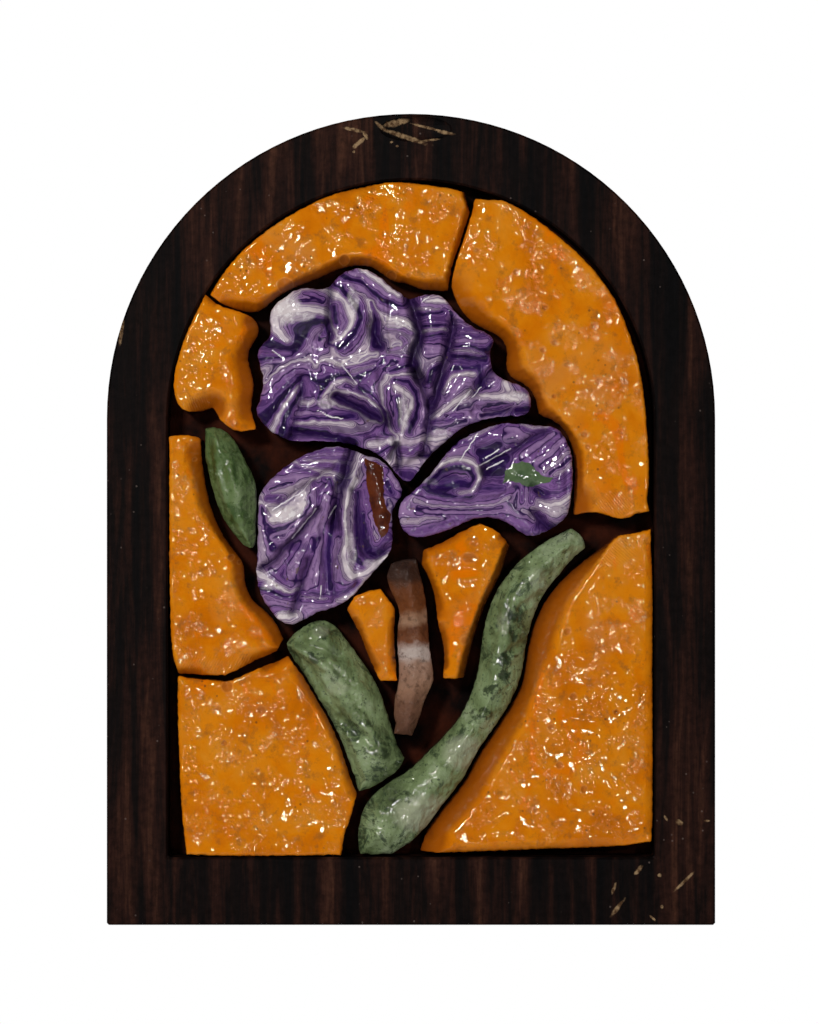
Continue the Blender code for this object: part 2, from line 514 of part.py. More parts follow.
# Round humps and hollows: the centre in shares, the half sizes and the rise
CARVED_HUMPS = {
    "upper_petals": [
        ((-45, 147), (8.0 * RELIEF, 6.4 * RELIEF), 2.6 * RELIEF),
        ((-2.6, 108), (5.0 * RELIEF, 8.6 * RELIEF), 1.9 * RELIEF),
        ((0, 90), (5.6 * RELIEF, 4.4 * RELIEF), -3.0 * RELIEF),
        ((-22, 157), (9.0 * RELIEF, 5.0 * RELIEF), 0.8 * RELIEF),
        ((-6, 142), (4.0 * RELIEF, 7.0 * RELIEF), 1.0 * RELIEF),
        ((8.4, 142), (3.6 * RELIEF, 7.0 * RELIEF), 0.9 * RELIEF),
        ((26, 133), (5.0 * RELIEF, 4.6 * RELIEF), 1.2 * RELIEF),
        ((27, 105.4), (2.4 * RELIEF, 2.2 * RELIEF), -2.0 * RELIEF),
        ((-55, 108), (5.0 * RELIEF, 9.0 * RELIEF), 0.9 * RELIEF),
        ((-13, 97), (1.8 * RELIEF, 1.6 * RELIEF), -1.2 * RELIEF),
    ],
    "lower_left_petal": [
        ((-51, 79), (6.4 * RELIEF, 4.8 * RELIEF), 1.1 * RELIEF),
        ((-46, 90), (7.0 * RELIEF, 4.0 * RELIEF), 0.8 * RELIEF),
        ((-53, 61), (5.0 * RELIEF, 5.0 * RELIEF), 0.8 * RELIEF),
    ],
    "lower_right_petal": [
        ((16.5, 86.8), (6.2 * RELIEF, 3.2 * RELIEF), -2.2 * RELIEF),
        ((60.6, 88), (4.6 * RELIEF, 8.6 * RELIEF), 0.9 * RELIEF),
        ((58, 80), (4.6 * RELIEF, 3.4 * RELIEF), 0.7 * RELIEF),
        ((8, 78), (8.0 * RELIEF, 4.0 * RELIEF), 0.6 * RELIEF),
    ],
    "short_leaf": [
        ((-38.4, 52), (3.4 * RELIEF, 2.6 * RELIEF), 0.9 * RELIEF),
    ],
}

# Width and drop of the slope that each tile turns towards a point of the flower
TILE_SLOPES = {
    "tile_top": (4.0 * RELIEF, 4.2 * RELIEF, FLOWER_HEART),
    "tile_upper_left": (5.0 * RELIEF, 4.4 * RELIEF, FLOWER_HEART),
    "tile_upper_right": (7.4 * RELIEF, 4.6 * RELIEF, FLOWER_HEART),
    "tile_left": (5.6 * RELIEF, 4.2 * RELIEF, FLOWER_HEART),
    "tile_lower_left": (3.2 * RELIEF, 3.4 * RELIEF, FLOWER_HEART),
    "tile_lower_right": (6.0 * RELIEF, 5.0 * RELIEF, (0, 60)),
    "wedge_left": (3.0 * RELIEF, 2.6 * RELIEF, (-14, 80)),
    "wedge_right": (4.6 * RELIEF, 4.4 * RELIEF, (60, 90)),
}
TILE_EDGE = (1.5 * RELIEF, 0.9 * RELIEF)
PETAL_EDGE = (2.4 * RELIEF, 2.6 * RELIEF)
PETAL_SLOPE = (2.4 * RELIEF, 3.4 * RELIEF)
LEAF_EDGE = (4.2 * RELIEF, 2.8 * RELIEF)
LEAF_SLOPE = (5.0 * RELIEF, 3.6 * RELIEF)
STEM_EDGE = (3.0 * RELIEF, 1.9 * RELIEF)


def make_tiles(group):
    """The orange tiles around the flower and the two wedges beside the stem."""
    look = (ORANGE_STONE, 0.25)
    for name, shares in TILE_OUTLINES.items():
        width, drop, facing = TILE_SLOPES[name]
        make_stone(
            name, group, shares, look, TILE_HEIGHT, TILE_MESH, TILE_EDGE, (width, drop), facing
        )


def make_flower(group):
    """The three purple stones that carry the petals, each with its folds."""
    look = (PURPLE_STONE, 0.2)
    for name, shares in PETAL_OUTLINES.items():
        make_stone(
            name, group, shares, look, PETAL_HEIGHT, PETAL_MESH, PETAL_EDGE, PETAL_SLOPE,
            (0, 60), CARVED_LINES[name], CARVED_HUMPS[name],
        )


def make_leaves_and_stem(group):
    """The green leaves with rounded backs and the banded stem between the wedges."""
    for name, shares in LEAF_OUTLINES.items():
        make_stone(
            name, group, shares, (GREEN_STONE, 0.25), LEAF_HEIGHT, LEAF_MESH, LEAF_EDGE,
            LEAF_SLOPE, (0, 60), CARVED_LINES[name], CARVED_HUMPS.get(name, ()),
        )
    make_stone(
        "stem", group, STEM_OUTLINE, (BANDED_STONE, 0.3), STEM_HEIGHT, LEAF_MESH, STEM_EDGE,
        STEM_EDGE, FLOWER_HEART,
    )


def main():
    """Clear the scene and build the panel."""
    for old in list(bpy.data.objects):
        bpy.data.objects.remove(old)
    panel = collection("mosaic_panel")
    cutters = collection("cutters")
    make_frame(panel, cutters)
    make_backing(panel)
    make_tiles(panel)
    make_flower(panel)
    make_leaves_and_stem(panel)


main()
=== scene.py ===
# %% [markdown]
# # Arched mosaic panel with a carved iris
#
# The real object is a small wall plaque. A dark wooden frame with a round top holds hand-cut
# stones: orange tiles, an iris in banded purple stone and leaves in green stone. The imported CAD
# model already has each stone's outline and rough height. This script gives every stone its fine
# carving and its finish, and then sets up the light and the camera.

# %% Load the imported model
import math

import bmesh
import bpy
import numpy as np
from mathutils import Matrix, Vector


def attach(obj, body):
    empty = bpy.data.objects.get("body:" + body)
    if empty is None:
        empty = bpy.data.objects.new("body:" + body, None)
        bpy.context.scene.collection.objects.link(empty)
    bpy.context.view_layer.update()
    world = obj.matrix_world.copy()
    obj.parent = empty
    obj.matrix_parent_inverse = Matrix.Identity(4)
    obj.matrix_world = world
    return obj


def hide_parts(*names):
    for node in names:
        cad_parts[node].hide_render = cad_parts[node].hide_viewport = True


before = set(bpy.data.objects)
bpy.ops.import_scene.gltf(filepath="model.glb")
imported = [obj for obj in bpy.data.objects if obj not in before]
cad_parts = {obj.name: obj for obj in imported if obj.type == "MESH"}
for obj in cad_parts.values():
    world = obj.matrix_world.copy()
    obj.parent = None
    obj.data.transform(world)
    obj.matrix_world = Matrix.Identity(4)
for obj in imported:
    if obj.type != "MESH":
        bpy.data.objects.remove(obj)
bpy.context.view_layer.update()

# %% [markdown]
# The front of the panel faces -Y. All marks on it are written in shares of the arched opening:
# across runs from -100 to 100, and up runs from 0 at the sill to 100 where the arch springs and
# on to 200 at the crown. One function turns a share into metres, so a fold that is read from the
# picture needs no more than two round numbers.

# %% Places on the panel
MM = 0.001
OPENING_RADIUS = 60 * MM
SILL = -83.3 * MM
SPRING = 23.7 * MM
STONE_BACK = -4.3 * MM
FRAME_FRONT = -16.0 * MM


def place(across, up):
    """The point of the panel's face that a share of the opening stands for."""
    straight = SPRING - SILL
    x = across / 100 * OPENING_RADIUS
    z = SILL + min(up, 100) / 100 * straight + max(up - 100, 0) / 100 * OPENING_RADIUS
    return (x, z)


def places(shares):
    """The same for a list of shares, with one row for each point."""
    return np.array([place(across, up) for across, up in shares])


print("crown of the opening at", place(0, 200))

# %% [markdown]
# Carving is easiest to think of as a height above a plane. Grooves and ridges need the distance
# from a point to a line, and lumps need soft random heights. Both are worked out for thousands of
# points at a time with numpy, which is much quicker than asking Blender point by point.

# %% Distances and soft random heights
POINTS_AT_A_TIME = 8000
LATTICE = 128
LATTICE_SHIFT = 500


def run_distances(points, line, closed=False):
    """Distance from every point to every straight run of a line, as a table of points by runs."""
    starts = line if closed else line[:-1]
    ends = np.roll(line, -1, axis=0) if closed else line[1:]
    run = ends - starts
    length = np.maximum((run**2).sum(axis=1), 1e-12)
    table = []
    for part in np.array_split(points, max(1, len(points) // POINTS_AT_A_TIME)):
        offset = part[:, None, :] - starts[None, :, :]
        along = np.clip((offset * run[None]).sum(axis=2) / length[None], 0, 1)
        table.append(np.linalg.norm(offset - along[..., None] * run[None], axis=2))
    return np.vstack(table)


def lumps(points, size, seed):
    """Soft random heights between -1 and 1, in lumps of about the size given."""
    chance = np.random.default_rng(seed)
    turn = chance.uniform(0, math.pi)
    spin = np.array([[math.cos(turn), -math.sin(turn)], [math.sin(turn), math.cos(turn)]])
    angles = chance.uniform(0, 2 * math.pi, (LATTICE, LATTICE))
    u = points @ spin / size + LATTICE_SHIFT
    cell = np.floor(u).astype(int)
    t = u - cell
    ease = t**3 * (t * (t * 6 - 15) + 10)
    corner = []
    for dx in (0, 1):
        for dy in (0, 1):
            angle = angles[(cell[:, 0] + dx) % LATTICE, (cell[:, 1] + dy) % LATTICE]
            corner.append(np.cos(angle) * (t[:, 0] - dx) + np.sin(angle) * (t[:, 1] - dy))
    near = corner[0] + (corner[1] - corner[0]) * ease[:, 1]
    far = corner[2] + (corner[3] - corner[2]) * ease[:, 1]
    return 1.5 * (near + (far - near) * ease[:, 0])


def uneven(points, layers):
    """Lumps of several sizes on top of each other: height and size of each in mm, and its seed."""
    return sum(height * MM * lumps(points, size * MM, seed) for height, size, seed in layers)


def sway(points, size, reach, seed):
    """A soft random move in both directions of the face."""
    return reach * np.column_stack([lumps(points, size, seed), lumps(points, size, seed + 1)])


print("a lump sample:", lumps(np.array([[0.01, 0.02]]), 4 * MM, 1))

# %% [markdown]
# A stone starts as a blank. The back face of the CAD stone is its cut outline. The CAD outline
# runs round every corner, so the corners that the mason left crisp are put back one by one. The
# shape is then extruded to the full height, and the Remesh modifier lays an even skin of small
# quads over it, like clay that can be carved anywhere. Nothing is carved at the back, so that part
# of the skin is cut off and replaced by a plain wall and one flat face.

# %% Blanks
WALL = 3.5 * MM
CORNER_REACH = 2.6 * MM

CORNERS = {
    "tile_top": [(-82.6, 152.6), (25.3, 192.4), (15.2, 154.6), (22, 195)],
    "tile_upper_left": [(-63.6, 98.6), (-81.5, 106.8), (-84.6, 153)],
    "tile_upper_right": [(26.2, 192.4), (97.9, 79.6), (66.9, 78.9), (16.6, 156)],
    "tile_left": [(-99.4, 97), (-86.6, 96.6), (-52.6, 50.2), (-95.6, 42.2), (-76.4, 41.9)],
    "tile_lower_left": [
        (-95.8, 41.8), (-75.6, 40.4), (-50.6, 46.4), (-22.2, 14.6), (-28.6, 0.4), (-92.2, 0.6),
    ],
    "tile_lower_right": [(98.6, 75.6), (3.8, 1.2), (98.9, 3.6), (84.6, 74.1)],
    "wedge_left": [
        (-26.4, 57.2), (-12.4, 61.8), (-6.6, 57.4), (-5.7, 40.7), (-12.8, 40.6), (-23, 60.2),
    ],
    "wedge_right": [(4.3, 67.6), (5, 70.8), (28.4, 76.9), (40.6, 71.8), (21.9, 41.2), (13.1, 41.2)],
    "small_leaf": [(-84.6, 99), (-67.6, 67.6)],
    "short_leaf": [(-53.8, 53), (-35.4, 58.6), (-2.6, 22.6), (-21.6, 15)],
    "long_leaf": [(66, 75.8), (72, 71.4), (-21, 0.6), (-8, 0.6)],
    "stem": [(-7, 28.4), (0.4, 28), (-8.4, 67.6), (2, 68.8)],
}


def cad_outline(node, rounds):
    """The back of the CAD stone as a closed line, softened a little between its points."""
    bm = bmesh.new()
    bm.from_mesh(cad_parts[node].data)
    bmesh.ops.remove_doubles(bm, verts=bm.verts[:], dist=0.01 * MM)
    proud = [vert for vert in bm.verts if vert.co.y < STONE_BACK - 0.1 * MM]
    bmesh.ops.delete(bm, geom=proud, context="VERTS")
    bmesh.ops.dissolve_faces(bm, faces=bm.faces[:])
    bmesh.ops.subdivide_edges(bm, edges=bm.edges[:], cuts=1)
    for _ in range(rounds):
        bmesh.ops.smooth_vert(bm, verts=bm.verts[:], factor=0.5, use_axis_x=True, use_axis_z=True)
    bm.faces.ensure_lookup_table()
    outline = np.array([(loop.vert.co.x, loop.vert.co.z) for loop in bm.faces[0].loops])
    bm.free()
    return outline


def sharpen(outline, corners):
    """Put crisp corners in place of the points of the outline that lie near them."""
    for corner in places(corners) if corners else ():
        gap = np.linalg.norm(outline - corner, axis=1)
        if gap.min() > CORNER_REACH:
            continue
        turn = -np.argmax(gap)
        outline = np.roll(outline, turn, axis=0)
        near = np.roll(gap, turn) < CORNER_REACH
        first = np.argmax(near)
        after = outline[first:][~near[first:]]
        outline = np.vstack([outline[:first], [corner], after])
    return outline


def make_blank(node, height, grain, rounds=1):
    """The uncarved stone as a fine mesh, and its outline as points in the panel's plane."""
    outline = sharpen(cad_outline(node, rounds), CORNERS.get(node))
    bm = bmesh.new()
    bm.faces.new([bm.verts.new((x, STONE_BACK, z)) for x, z in outline])
    made = bmesh.ops.extrude_face_region(bm, geom=bm.faces[:])["geom"]
    top = [item for item in made if isinstance(item, bmesh.types.BMVert)]
    bmesh.ops.translate(bm, verts=top, vec=(0, -height, 0))
    bmesh.ops.triangulate(bm, faces=bm.faces[:])
    bmesh.ops.recalc_face_normals(bm, faces=bm.faces)
    mesh = bpy.data.meshes.new(node + "_blank")
    bm.to_mesh(mesh)
    bm.free()
    blank = bpy.data.objects.new(node + "_blank", mesh)
    bpy.context.scene.collection.objects.link(blank)
    skin = blank.modifiers.new("skin", "REMESH")
    skin.mode = "VOXEL"
    skin.voxel_size = grain
    fine = bpy.data.meshes.new_from_object(blank.evaluated_get(bpy.context.evaluated_depsgraph_get()))
    bpy.data.objects.remove(blank)

    bm = bmesh.new()
    bm.from_mesh(fine)
    bmesh.ops.bisect_plane(
        bm, geom=bm.verts[:] + bm.edges[:] + bm.faces[:], dist=0.001 * MM,
        plane_co=(0, STONE_BACK - WALL, 0), plane_no=(0, 1, 0), clear_outer=True,
    )
    rim = [edge for edge in bm.edges if edge.is_boundary]
    made = bmesh.ops.extrude_edge_only(bm, edges=rim)["geom"]
    foot = [item for item in made if isinstance(item, bmesh.types.BMVert)]
    bmesh.ops.translate(bm, verts=foot, vec=(0, WALL, 0))
    back = [item for item in made if isinstance(item, bmesh.types.BMEdge) and item.is_boundary]
    bmesh.ops.contextual_create(bm, geom=back)
    bmesh.ops.recalc_face_normals(bm, faces=bm.faces)
    bm.to_mesh(fine)
    bm.free()
    fine.name = node + "_mesh"
    return fine, outline


print("corners to put back:", sum(len(corners) for corners in CORNERS.values()))

# %% [markdown]
# Now the chisels. `ground_edge` rounds the rim and grinds the wide slopes that the tiles turn
# towards the flower. `carve` draws grooves and ridges along lines, and `swell` raises or sinks
# round spots. Each one returns a height for every point, and the heights are simply added up.

# %% Chisels
# how soon a slope ends where the outline turns away from its target, the share of its reach over
# which it fades, and how it eases towards the crest
TURN_FADE = 2.5
END_FADE = 0.3
CREST_EASE = 1.4


def ground_edge(points, outline, rim, slopes=(), power=1.8):
    """How far the face drops near its edge: a round rim, and wider slopes up to a crest line."""
    away = run_distances(points, outline, closed=True)
    width, drop = rim
    fall = drop * np.clip(1 - away.min(axis=1) / width, 0, 1) ** power
    if not slopes:
        return fall
    after = np.roll(outline, -1, axis=0)
    middle = (outline + after) / 2
    run = after - outline
    turning = (outline[:, 0] * after[:, 1] - after[:, 0] * outline[:, 1]).sum()
    outward = np.column_stack([run[:, 1], -run[:, 0]]) * np.sign(turning)
    outward /= np.linalg.norm(outward, axis=1)[:, None]
    for crest, target, deep, reach in slopes:
        # only the runs of the outline that look at the target and lie near the crest are ground
        aim = np.array(place(*target)) - middle
        aim /= np.linalg.norm(aim, axis=1)[:, None]
        share = np.clip((outward * aim).sum(axis=1) * TURN_FADE, 0, 1)
        gap = run_distances(middle, places(crest)).min(axis=1)
        share *= np.clip((reach - gap) / (END_FADE * reach), 0, 1)
        inward = np.clip(1 - away / np.maximum(gap, 0.3 * MM)[None], 0, 1)
        fall = np.maximum(fall, (deep * share[None] * inward**CREST_EASE).max(axis=1))
    return fall


# a groove that sinks more than STEEP, in mm, gets a sharp bottom, and the higher SPOT_FADE is, the
# wider is the even middle of a coloured spot
STEEP = -1.2
SPOT_FADE = 1.6


def carve(points, cuts):
    """Height that grooves and ridges add: the line in shares, half width and rise of each in mm."""
    height = np.zeros(len(points))
    for shares, width, rise in cuts:
        gap = run_distances(points, places(shares)).min(axis=1) / (width * MM)
        steep = rise < STEEP
        share = np.clip(1 - gap, 0, 1) ** 1.2 if steep else np.clip(1 - gap**2, 0, 1) ** 2
        height += rise * MM * share
    return height


def spot_gap(points, centre, across, up):
    """Squared distance from the centre of a round spot, where 1 is on its rim."""
    gap = (points - np.array(place(*centre))) / np.array((across * MM, up * MM))
    return (gap**2).sum(axis=1)


def swell(points, table):
    """Height that round spots add: the centre in shares, half sizes and rise of each in mm."""
    height = np.zeros(len(points))
    for centre, across, up, rise in table:
        height += rise * MM * np.clip(1 - spot_gap(points, centre, across, up), 0, 1) ** 2
    return height


def spots(points, table):
    """Soft spots between 0 and 1: centre in shares, half sizes in mm and strength of each."""
    value = np.zeros(len(points))
    for centre, across, up, strength in table:
        inside = np.clip(SPOT_FADE * (1 - spot_gap(points, centre, across, up)), 0, 1)
        value = np.maximum(value, strength * inside)
    return np.clip(value, 0, 1)


trial = np.array([place(0, 50), place(0, 150)])
print("a groove 1 mm deep, on its line and far from it:", carve(trial, [([(-9, 50), (9, 50)], 1, -1)]))

# %% [markdown]
# A few steps are the same for every stone. Its corners are read as one table, which numpy can work
# on, and written back once the face is carved. Numbers that a material needs are stored beside the
# corners, and the finished stone takes the place of its CAD node.

# %% From blank to stone
LOWEST_FACE = 4 * MM
# the finished stones of each slot
carved = {}


def mesh_points(mesh):
    """All corners of a mesh as a table."""
    table = np.zeros(len(mesh.vertices) * 3)
    mesh.vertices.foreach_get("co", table)
    return table.reshape(-1, 3)


def start_stone(node, height, grain, jag, size, seed):
    """A blank, its outline, its corners and their places on the face, with the rim made uneven."""
    mesh, outline = make_blank(node, height, grain)
    points = mesh_points(mesh)
    face = points[:, [0, 2]].copy()
    points[:, [0, 2]] += sway(face, size, jag, seed)
    return mesh, outline, points, face


def press_height(mesh, points, blank_height, height):
    """Squeeze the blank to its carved height, so that the walls follow the face down."""
    share = np.clip((STONE_BACK - points[:, 1]) / blank_height, 0, None)
    points[:, 1] = STONE_BACK - share * np.maximum(height, LOWEST_FACE)
    mesh.vertices.foreach_set("co", points.ravel())
    mesh.update()


def keep_numbers(mesh, name, values):
    """Store one number for each corner of the mesh, for its material to read."""
    layer = mesh.attributes.new(name, "FLOAT", "POINT")
    layer.data.foreach_set("value", values.astype(np.float32))


def finish_stone(node, mesh, slot):
    """Put a carved stone in the scene in place of its CAD node."""
    mesh.shade_smooth()
    stone = bpy.data.objects.new("carved_" + node, mesh)
    bpy.context.scene.collection.objects.link(stone)
    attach(stone, "root")
    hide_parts(node)
    carved.setdefault(slot, []).append(stone)
    print(node, len(mesh.polygons), "faces")


print("the lowest carved face stands", LOWEST_FACE / MM, "mm above the back of its stone")

# %% [markdown]
# ## The orange tiles
#
# Each tile is a flat slab of clouded orange stone with a wide slope ground along the side that
# looks at the flower. A slope is written as the crest line where it starts, the point that it
# faces, its depth and the widest that it may be.

# %% Slopes of the tiles
TILE_HEIGHT = 12.6 * MM
TILE_GRAIN = 0.36 * MM
TILE_RIM = (0.7 * MM, 0.4 * MM)
TILE_JAG = 0.13 * MM
HEART = (0, 100)

TILE_SLOPES = {
    "tile_top": [
        ([(-79, 156), (-70, 152), (-62, 151), (-55, 155), (-45, 161), (-36, 165.5), (-29, 169),
          (-19, 170), (-11, 167), (-4, 161.5), (4, 160), (14, 160)], HEART, 4.2 * MM, 5.5 * MM),
        ([(21.5, 191), (19.5, 181), (15.5, 168), (14, 160)], (40, 172), 2.6 * MM, 3.0 * MM),
        ([(-34, 184), (-30, 186), (-24, 187), (-21, 193)], (-40, 205), 1.2 * MM, 6.0 * MM),
    ],
    "tile_upper_left": [
        ([(-80, 149), (-74, 143), (-70, 138), (-73, 131), (-76, 126), (-74, 118), (-74, 110),
          (-76, 104)], HEART, 4.2 * MM, 7.0 * MM),
    ],
    "tile_upper_right": [
        ([(32.5, 191), (30, 184), (28, 178), (27.6, 168), (28, 161.6), (30.7, 153.4), (34.2, 145),
          (41.6, 139), (46, 131), (48.5, 124), (53.9, 117.3), (54.6, 111.2), (62.1, 102.3),
          (67, 98.2), (72, 93), (72, 86)], HEART, 4.4 * MM, 8.5 * MM),
    ],
    "tile_left": [
        ([(-97, 92), (-95.2, 91.7), (-91.6, 87.7), (-88.3, 80.7), (-82.4, 75.6), (-75.2, 69.7),
          (-74.4, 64.2), (-72.2, 60.2), (-64.7, 55.1), (-59.4, 49.5)], HEART, 4.2 * MM, 7.0 * MM),
        ([(-95.5, 44.4), (-81.8, 45.9), (-68.6, 47.7), (-59.4, 49), (-54, 49)],
         (-78, 0), 2.4 * MM, 4.5 * MM),
    ],
    "tile_lower_left": [
        ([(-55, 43.5), (-47, 40), (-39, 33.5), (-33, 27), (-29, 20), (-27, 14)],
         HEART, 2.4 * MM, 3.4 * MM),
    ],
    "tile_lower_right": [
        ([(82.7, 73.4), (75, 66), (69, 61), (65, 57), (63, 52.3), (60, 47.4), (55, 42.8), (52, 38),
          (48, 31.5), (43, 26), (37, 20), (31, 14.6), (25, 9.6), (17, 5)],
         (0, 62), 6.0 * MM, 11 * MM),
        ([(10, 3), (30, 3.6), (60, 4.2), (80, 5), (96, 6.6)], (50, -60), 1.3 * MM, 3.5 * MM),
        ([(96, 8), (95.6, 30), (96, 70)], (160, 40), 1.0 * MM, 3.0 * MM),
    ],
    "wedge_left": [
        ([(-19, 58.4), (-13, 58), (-10, 55), (-10, 50), (-9.5, 45)], (6, 60), 2.2 * MM, 2.8 * MM),
        ([(-20, 56), (-17, 50), (-12, 45)], (-60, 30), 2.6 * MM, 3.6 * MM),
    ],
    "wedge_right": [
        ([(8.4, 69.2), (19.1, 71.5), (26.1, 73.1), (31.1, 71.8), (36.7, 70.9)],
         (22, 130), 1.8 * MM, 4.0 * MM),
        ([(36.7, 70.9), (33.6, 66), (28.6, 60), (24.2, 53), (21.7, 49.5), (18.5, 42.4)],
         (90, 40), 5.6 * MM, 4.6 * MM),
        ([(8.4, 69.2), (11, 64.3), (15.4, 57.9), (17.6, 55.1), (16.9, 50.9), (16, 45.9)],
         (-40, 50), 3.0 * MM, 4.0 * MM),
    ],
}
print("ground slopes:", sum(len(slopes) for slopes in TILE_SLOPES.values()))

# %% [markdown]
# Small marks make a tile look handled. A drill or a burst bubble left round dimples, and the saw
# left fine parallel lines. A dimple is a centre in shares, two half sizes and a rise in mm. A patch
# of saw marks is a centre, two half sizes in mm and the turn of its lines in degrees.

# %% Dimples and saw marks
TILE_SPOTS = {
    "tile_top": [
        ((-51.7, 156.6), 2.3, 2.3, -0.8), ((-27.4, 167.2), 1.5, 1.5, -0.8),
        ((-8.1, 160.6), 1.5, 1.5, -0.8), ((-1, 161), 0.9, 0.9, -0.3),
        ((-27, 190), 3.6, 3.2, 0.25), ((14, 191), 0.7, 0.7, -0.3),
    ],
    "tile_upper_right": [
        ((71, 97.3), 1.2, 1.2, -0.4), ((72.5, 94.5), 1.0, 1.0, -0.35), ((43, 162), 1.0, 1.0, -0.4),
        ((55, 147.3), 0.8, 0.6, -1.1), ((58.7, 111), 0.6, 0.6, -1.1), ((27, 171), 0.9, 0.9, -0.35),
        ((59, 133), 1.2, 1.0, -0.4), ((54, 130), 1.0, 1.0, -0.35), ((75, 140), 1.1, 1.0, -0.35),
        ((64, 124), 1.3, 1.0, -0.35), ((32, 151), 0.8, 0.8, -0.3), ((77, 117), 1.2, 1.5, -0.3),
    ],
    "tile_left": [
        ((-74, 69), 1.0, 1.0, -0.55), ((-70.6, 68), 0.7, 0.7, -0.4), ((-89, 91.7), 0.8, 0.7, -0.35),
    ],
    "tile_lower_left": [
        ((-75.5, 39.4), 1.7, 1.7, -0.8), ((-79, 34), 1.3, 1.3, -0.35), ((-61.5, 34), 1.5, 1.4, -0.4),
        ((-76.7, 26.3), 0.9, 0.9, -0.7), ((-63, 20), 0.7, 0.7, -0.5), ((-63, 16.6), 1.6, 1.4, 0.3),
    ],
    "tile_lower_right": [
        ((66.5, 37), 1.2, 1.2, -0.5), ((61, 21.3), 1.2, 1.2, -0.5), ((71, 15.7), 1.1, 1.3, -0.5),
        ((57.5, 30), 1.2, 1.0, -0.4), ((84.3, 33.4), 0.9, 0.8, -1.2), ((64, 52), 1.2, 1.2, -0.5),
    ],
    "wedge_left": [((-6.5, 46), 1.0, 0.8, -1.2)],
    "wedge_right": [((24, 69), 2.6, 1.6, -0.5), ((22, 50), 1.6, 1.6, -0.3)],
}

SAW_MARKS = {
    "tile_upper_right": ((83, 81.6), 5.4, 3.4, 40),
    "tile_lower_right": ((84, 71), 5.6, 4.4, 48),
    "tile_left": ((-76, 44.6), 14.0, 3.0, -30),
    "tile_upper_left": ((-88, 107), 4.0, 4.0, 20),
}
# stands for none: a small spot at the sill that no tile reaches
NO_SAW_MARKS = ((0, 0), 1, 1, 0)
print("dimples:", sum(len(dimples) for dimples in TILE_SPOTS.values()))

# %% [markdown]
# With its marks in place, each tile is carved in one go. The rim and the slopes come off the blank,
# and lumps a few millimetres wide, which the saw and the thick varnish left, are added with the
# dimples. The face moves a little sideways too, so that no edge is quite straight.

# %% Carve the tiles
CALM_FALL = 1.2 * MM
FULL_SLOPE = 4 * MM


def liveliness(points):
    """How broken up the varnish is: near 0 where it lies calm, and above 1 where it is rough."""
    return np.clip(0.34 + 2.4 * lumps(points, 6 * MM, 10), 0.1, 1.3)


def tile_relief(points):
    """The soft lumps that the saw and the varnish left on a tile."""
    rough = uneven(points, [(0.15, 1.9, 13), (0.09, 1.1, 14)])
    return uneven(points, [(0.36, 9, 11), (0.15, 3.8, 12)]) + liveliness(points) * rough


for node, slopes in TILE_SLOPES.items():
    stone = start_stone(node, TILE_HEIGHT, TILE_GRAIN, TILE_JAG, 1.2 * MM, 17)
    mesh, outline, points, face = stone
    fall = ground_edge(face, outline, TILE_RIM, slopes)
    dimples = swell(face, TILE_SPOTS.get(node, ()))
    calm = 1 - 0.75 * np.clip(fall / CALM_FALL, 0, 1)
    top = TILE_HEIGHT - fall + calm * tile_relief(face) + dimples
    press_height(mesh, points, TILE_HEIGHT, top)
    # the share of a ground slope, which also sets the painted shade on the slopes
    keep_numbers(mesh, "slope", np.clip(fall / FULL_SLOPE, 0, 1))
    # the depth of each dimple, which also sets its painted highlight and shade
    keep_numbers(mesh, "pit", -dimples / MM)
    keep_numbers(mesh, "lively", liveliness(face))
    centre, across, up, turn = SAW_MARKS.get(node, NO_SAW_MARKS)
    away = (math.cos(math.radians(turn)), math.sin(math.radians(turn)))
    keep_numbers(mesh, "saw", spots(face, [(centre, across, up, 1.0)]))
    keep_numbers(mesh, "saw_run", face @ away / MM)
    finish_stone(node, mesh, "orange_stone")

# %% [markdown]
# ## The petals
#
# Three pieces of banded stone make the flower. Folds give the petals their life, so they are
# written down one by one: the line in shares, then half the width and the rise in mm. The stone's
# bands run beside the folds, because carving cuts through its layers as a path cuts through
# contour lines.

# %% Folds of the petals
PETAL_HEIGHT = 13.4 * MM
PETAL_GRAIN = 0.28 * MM
PETAL_RIM = (0.9 * MM, 0.6 * MM)
PETAL_JAG = 0.2 * MM

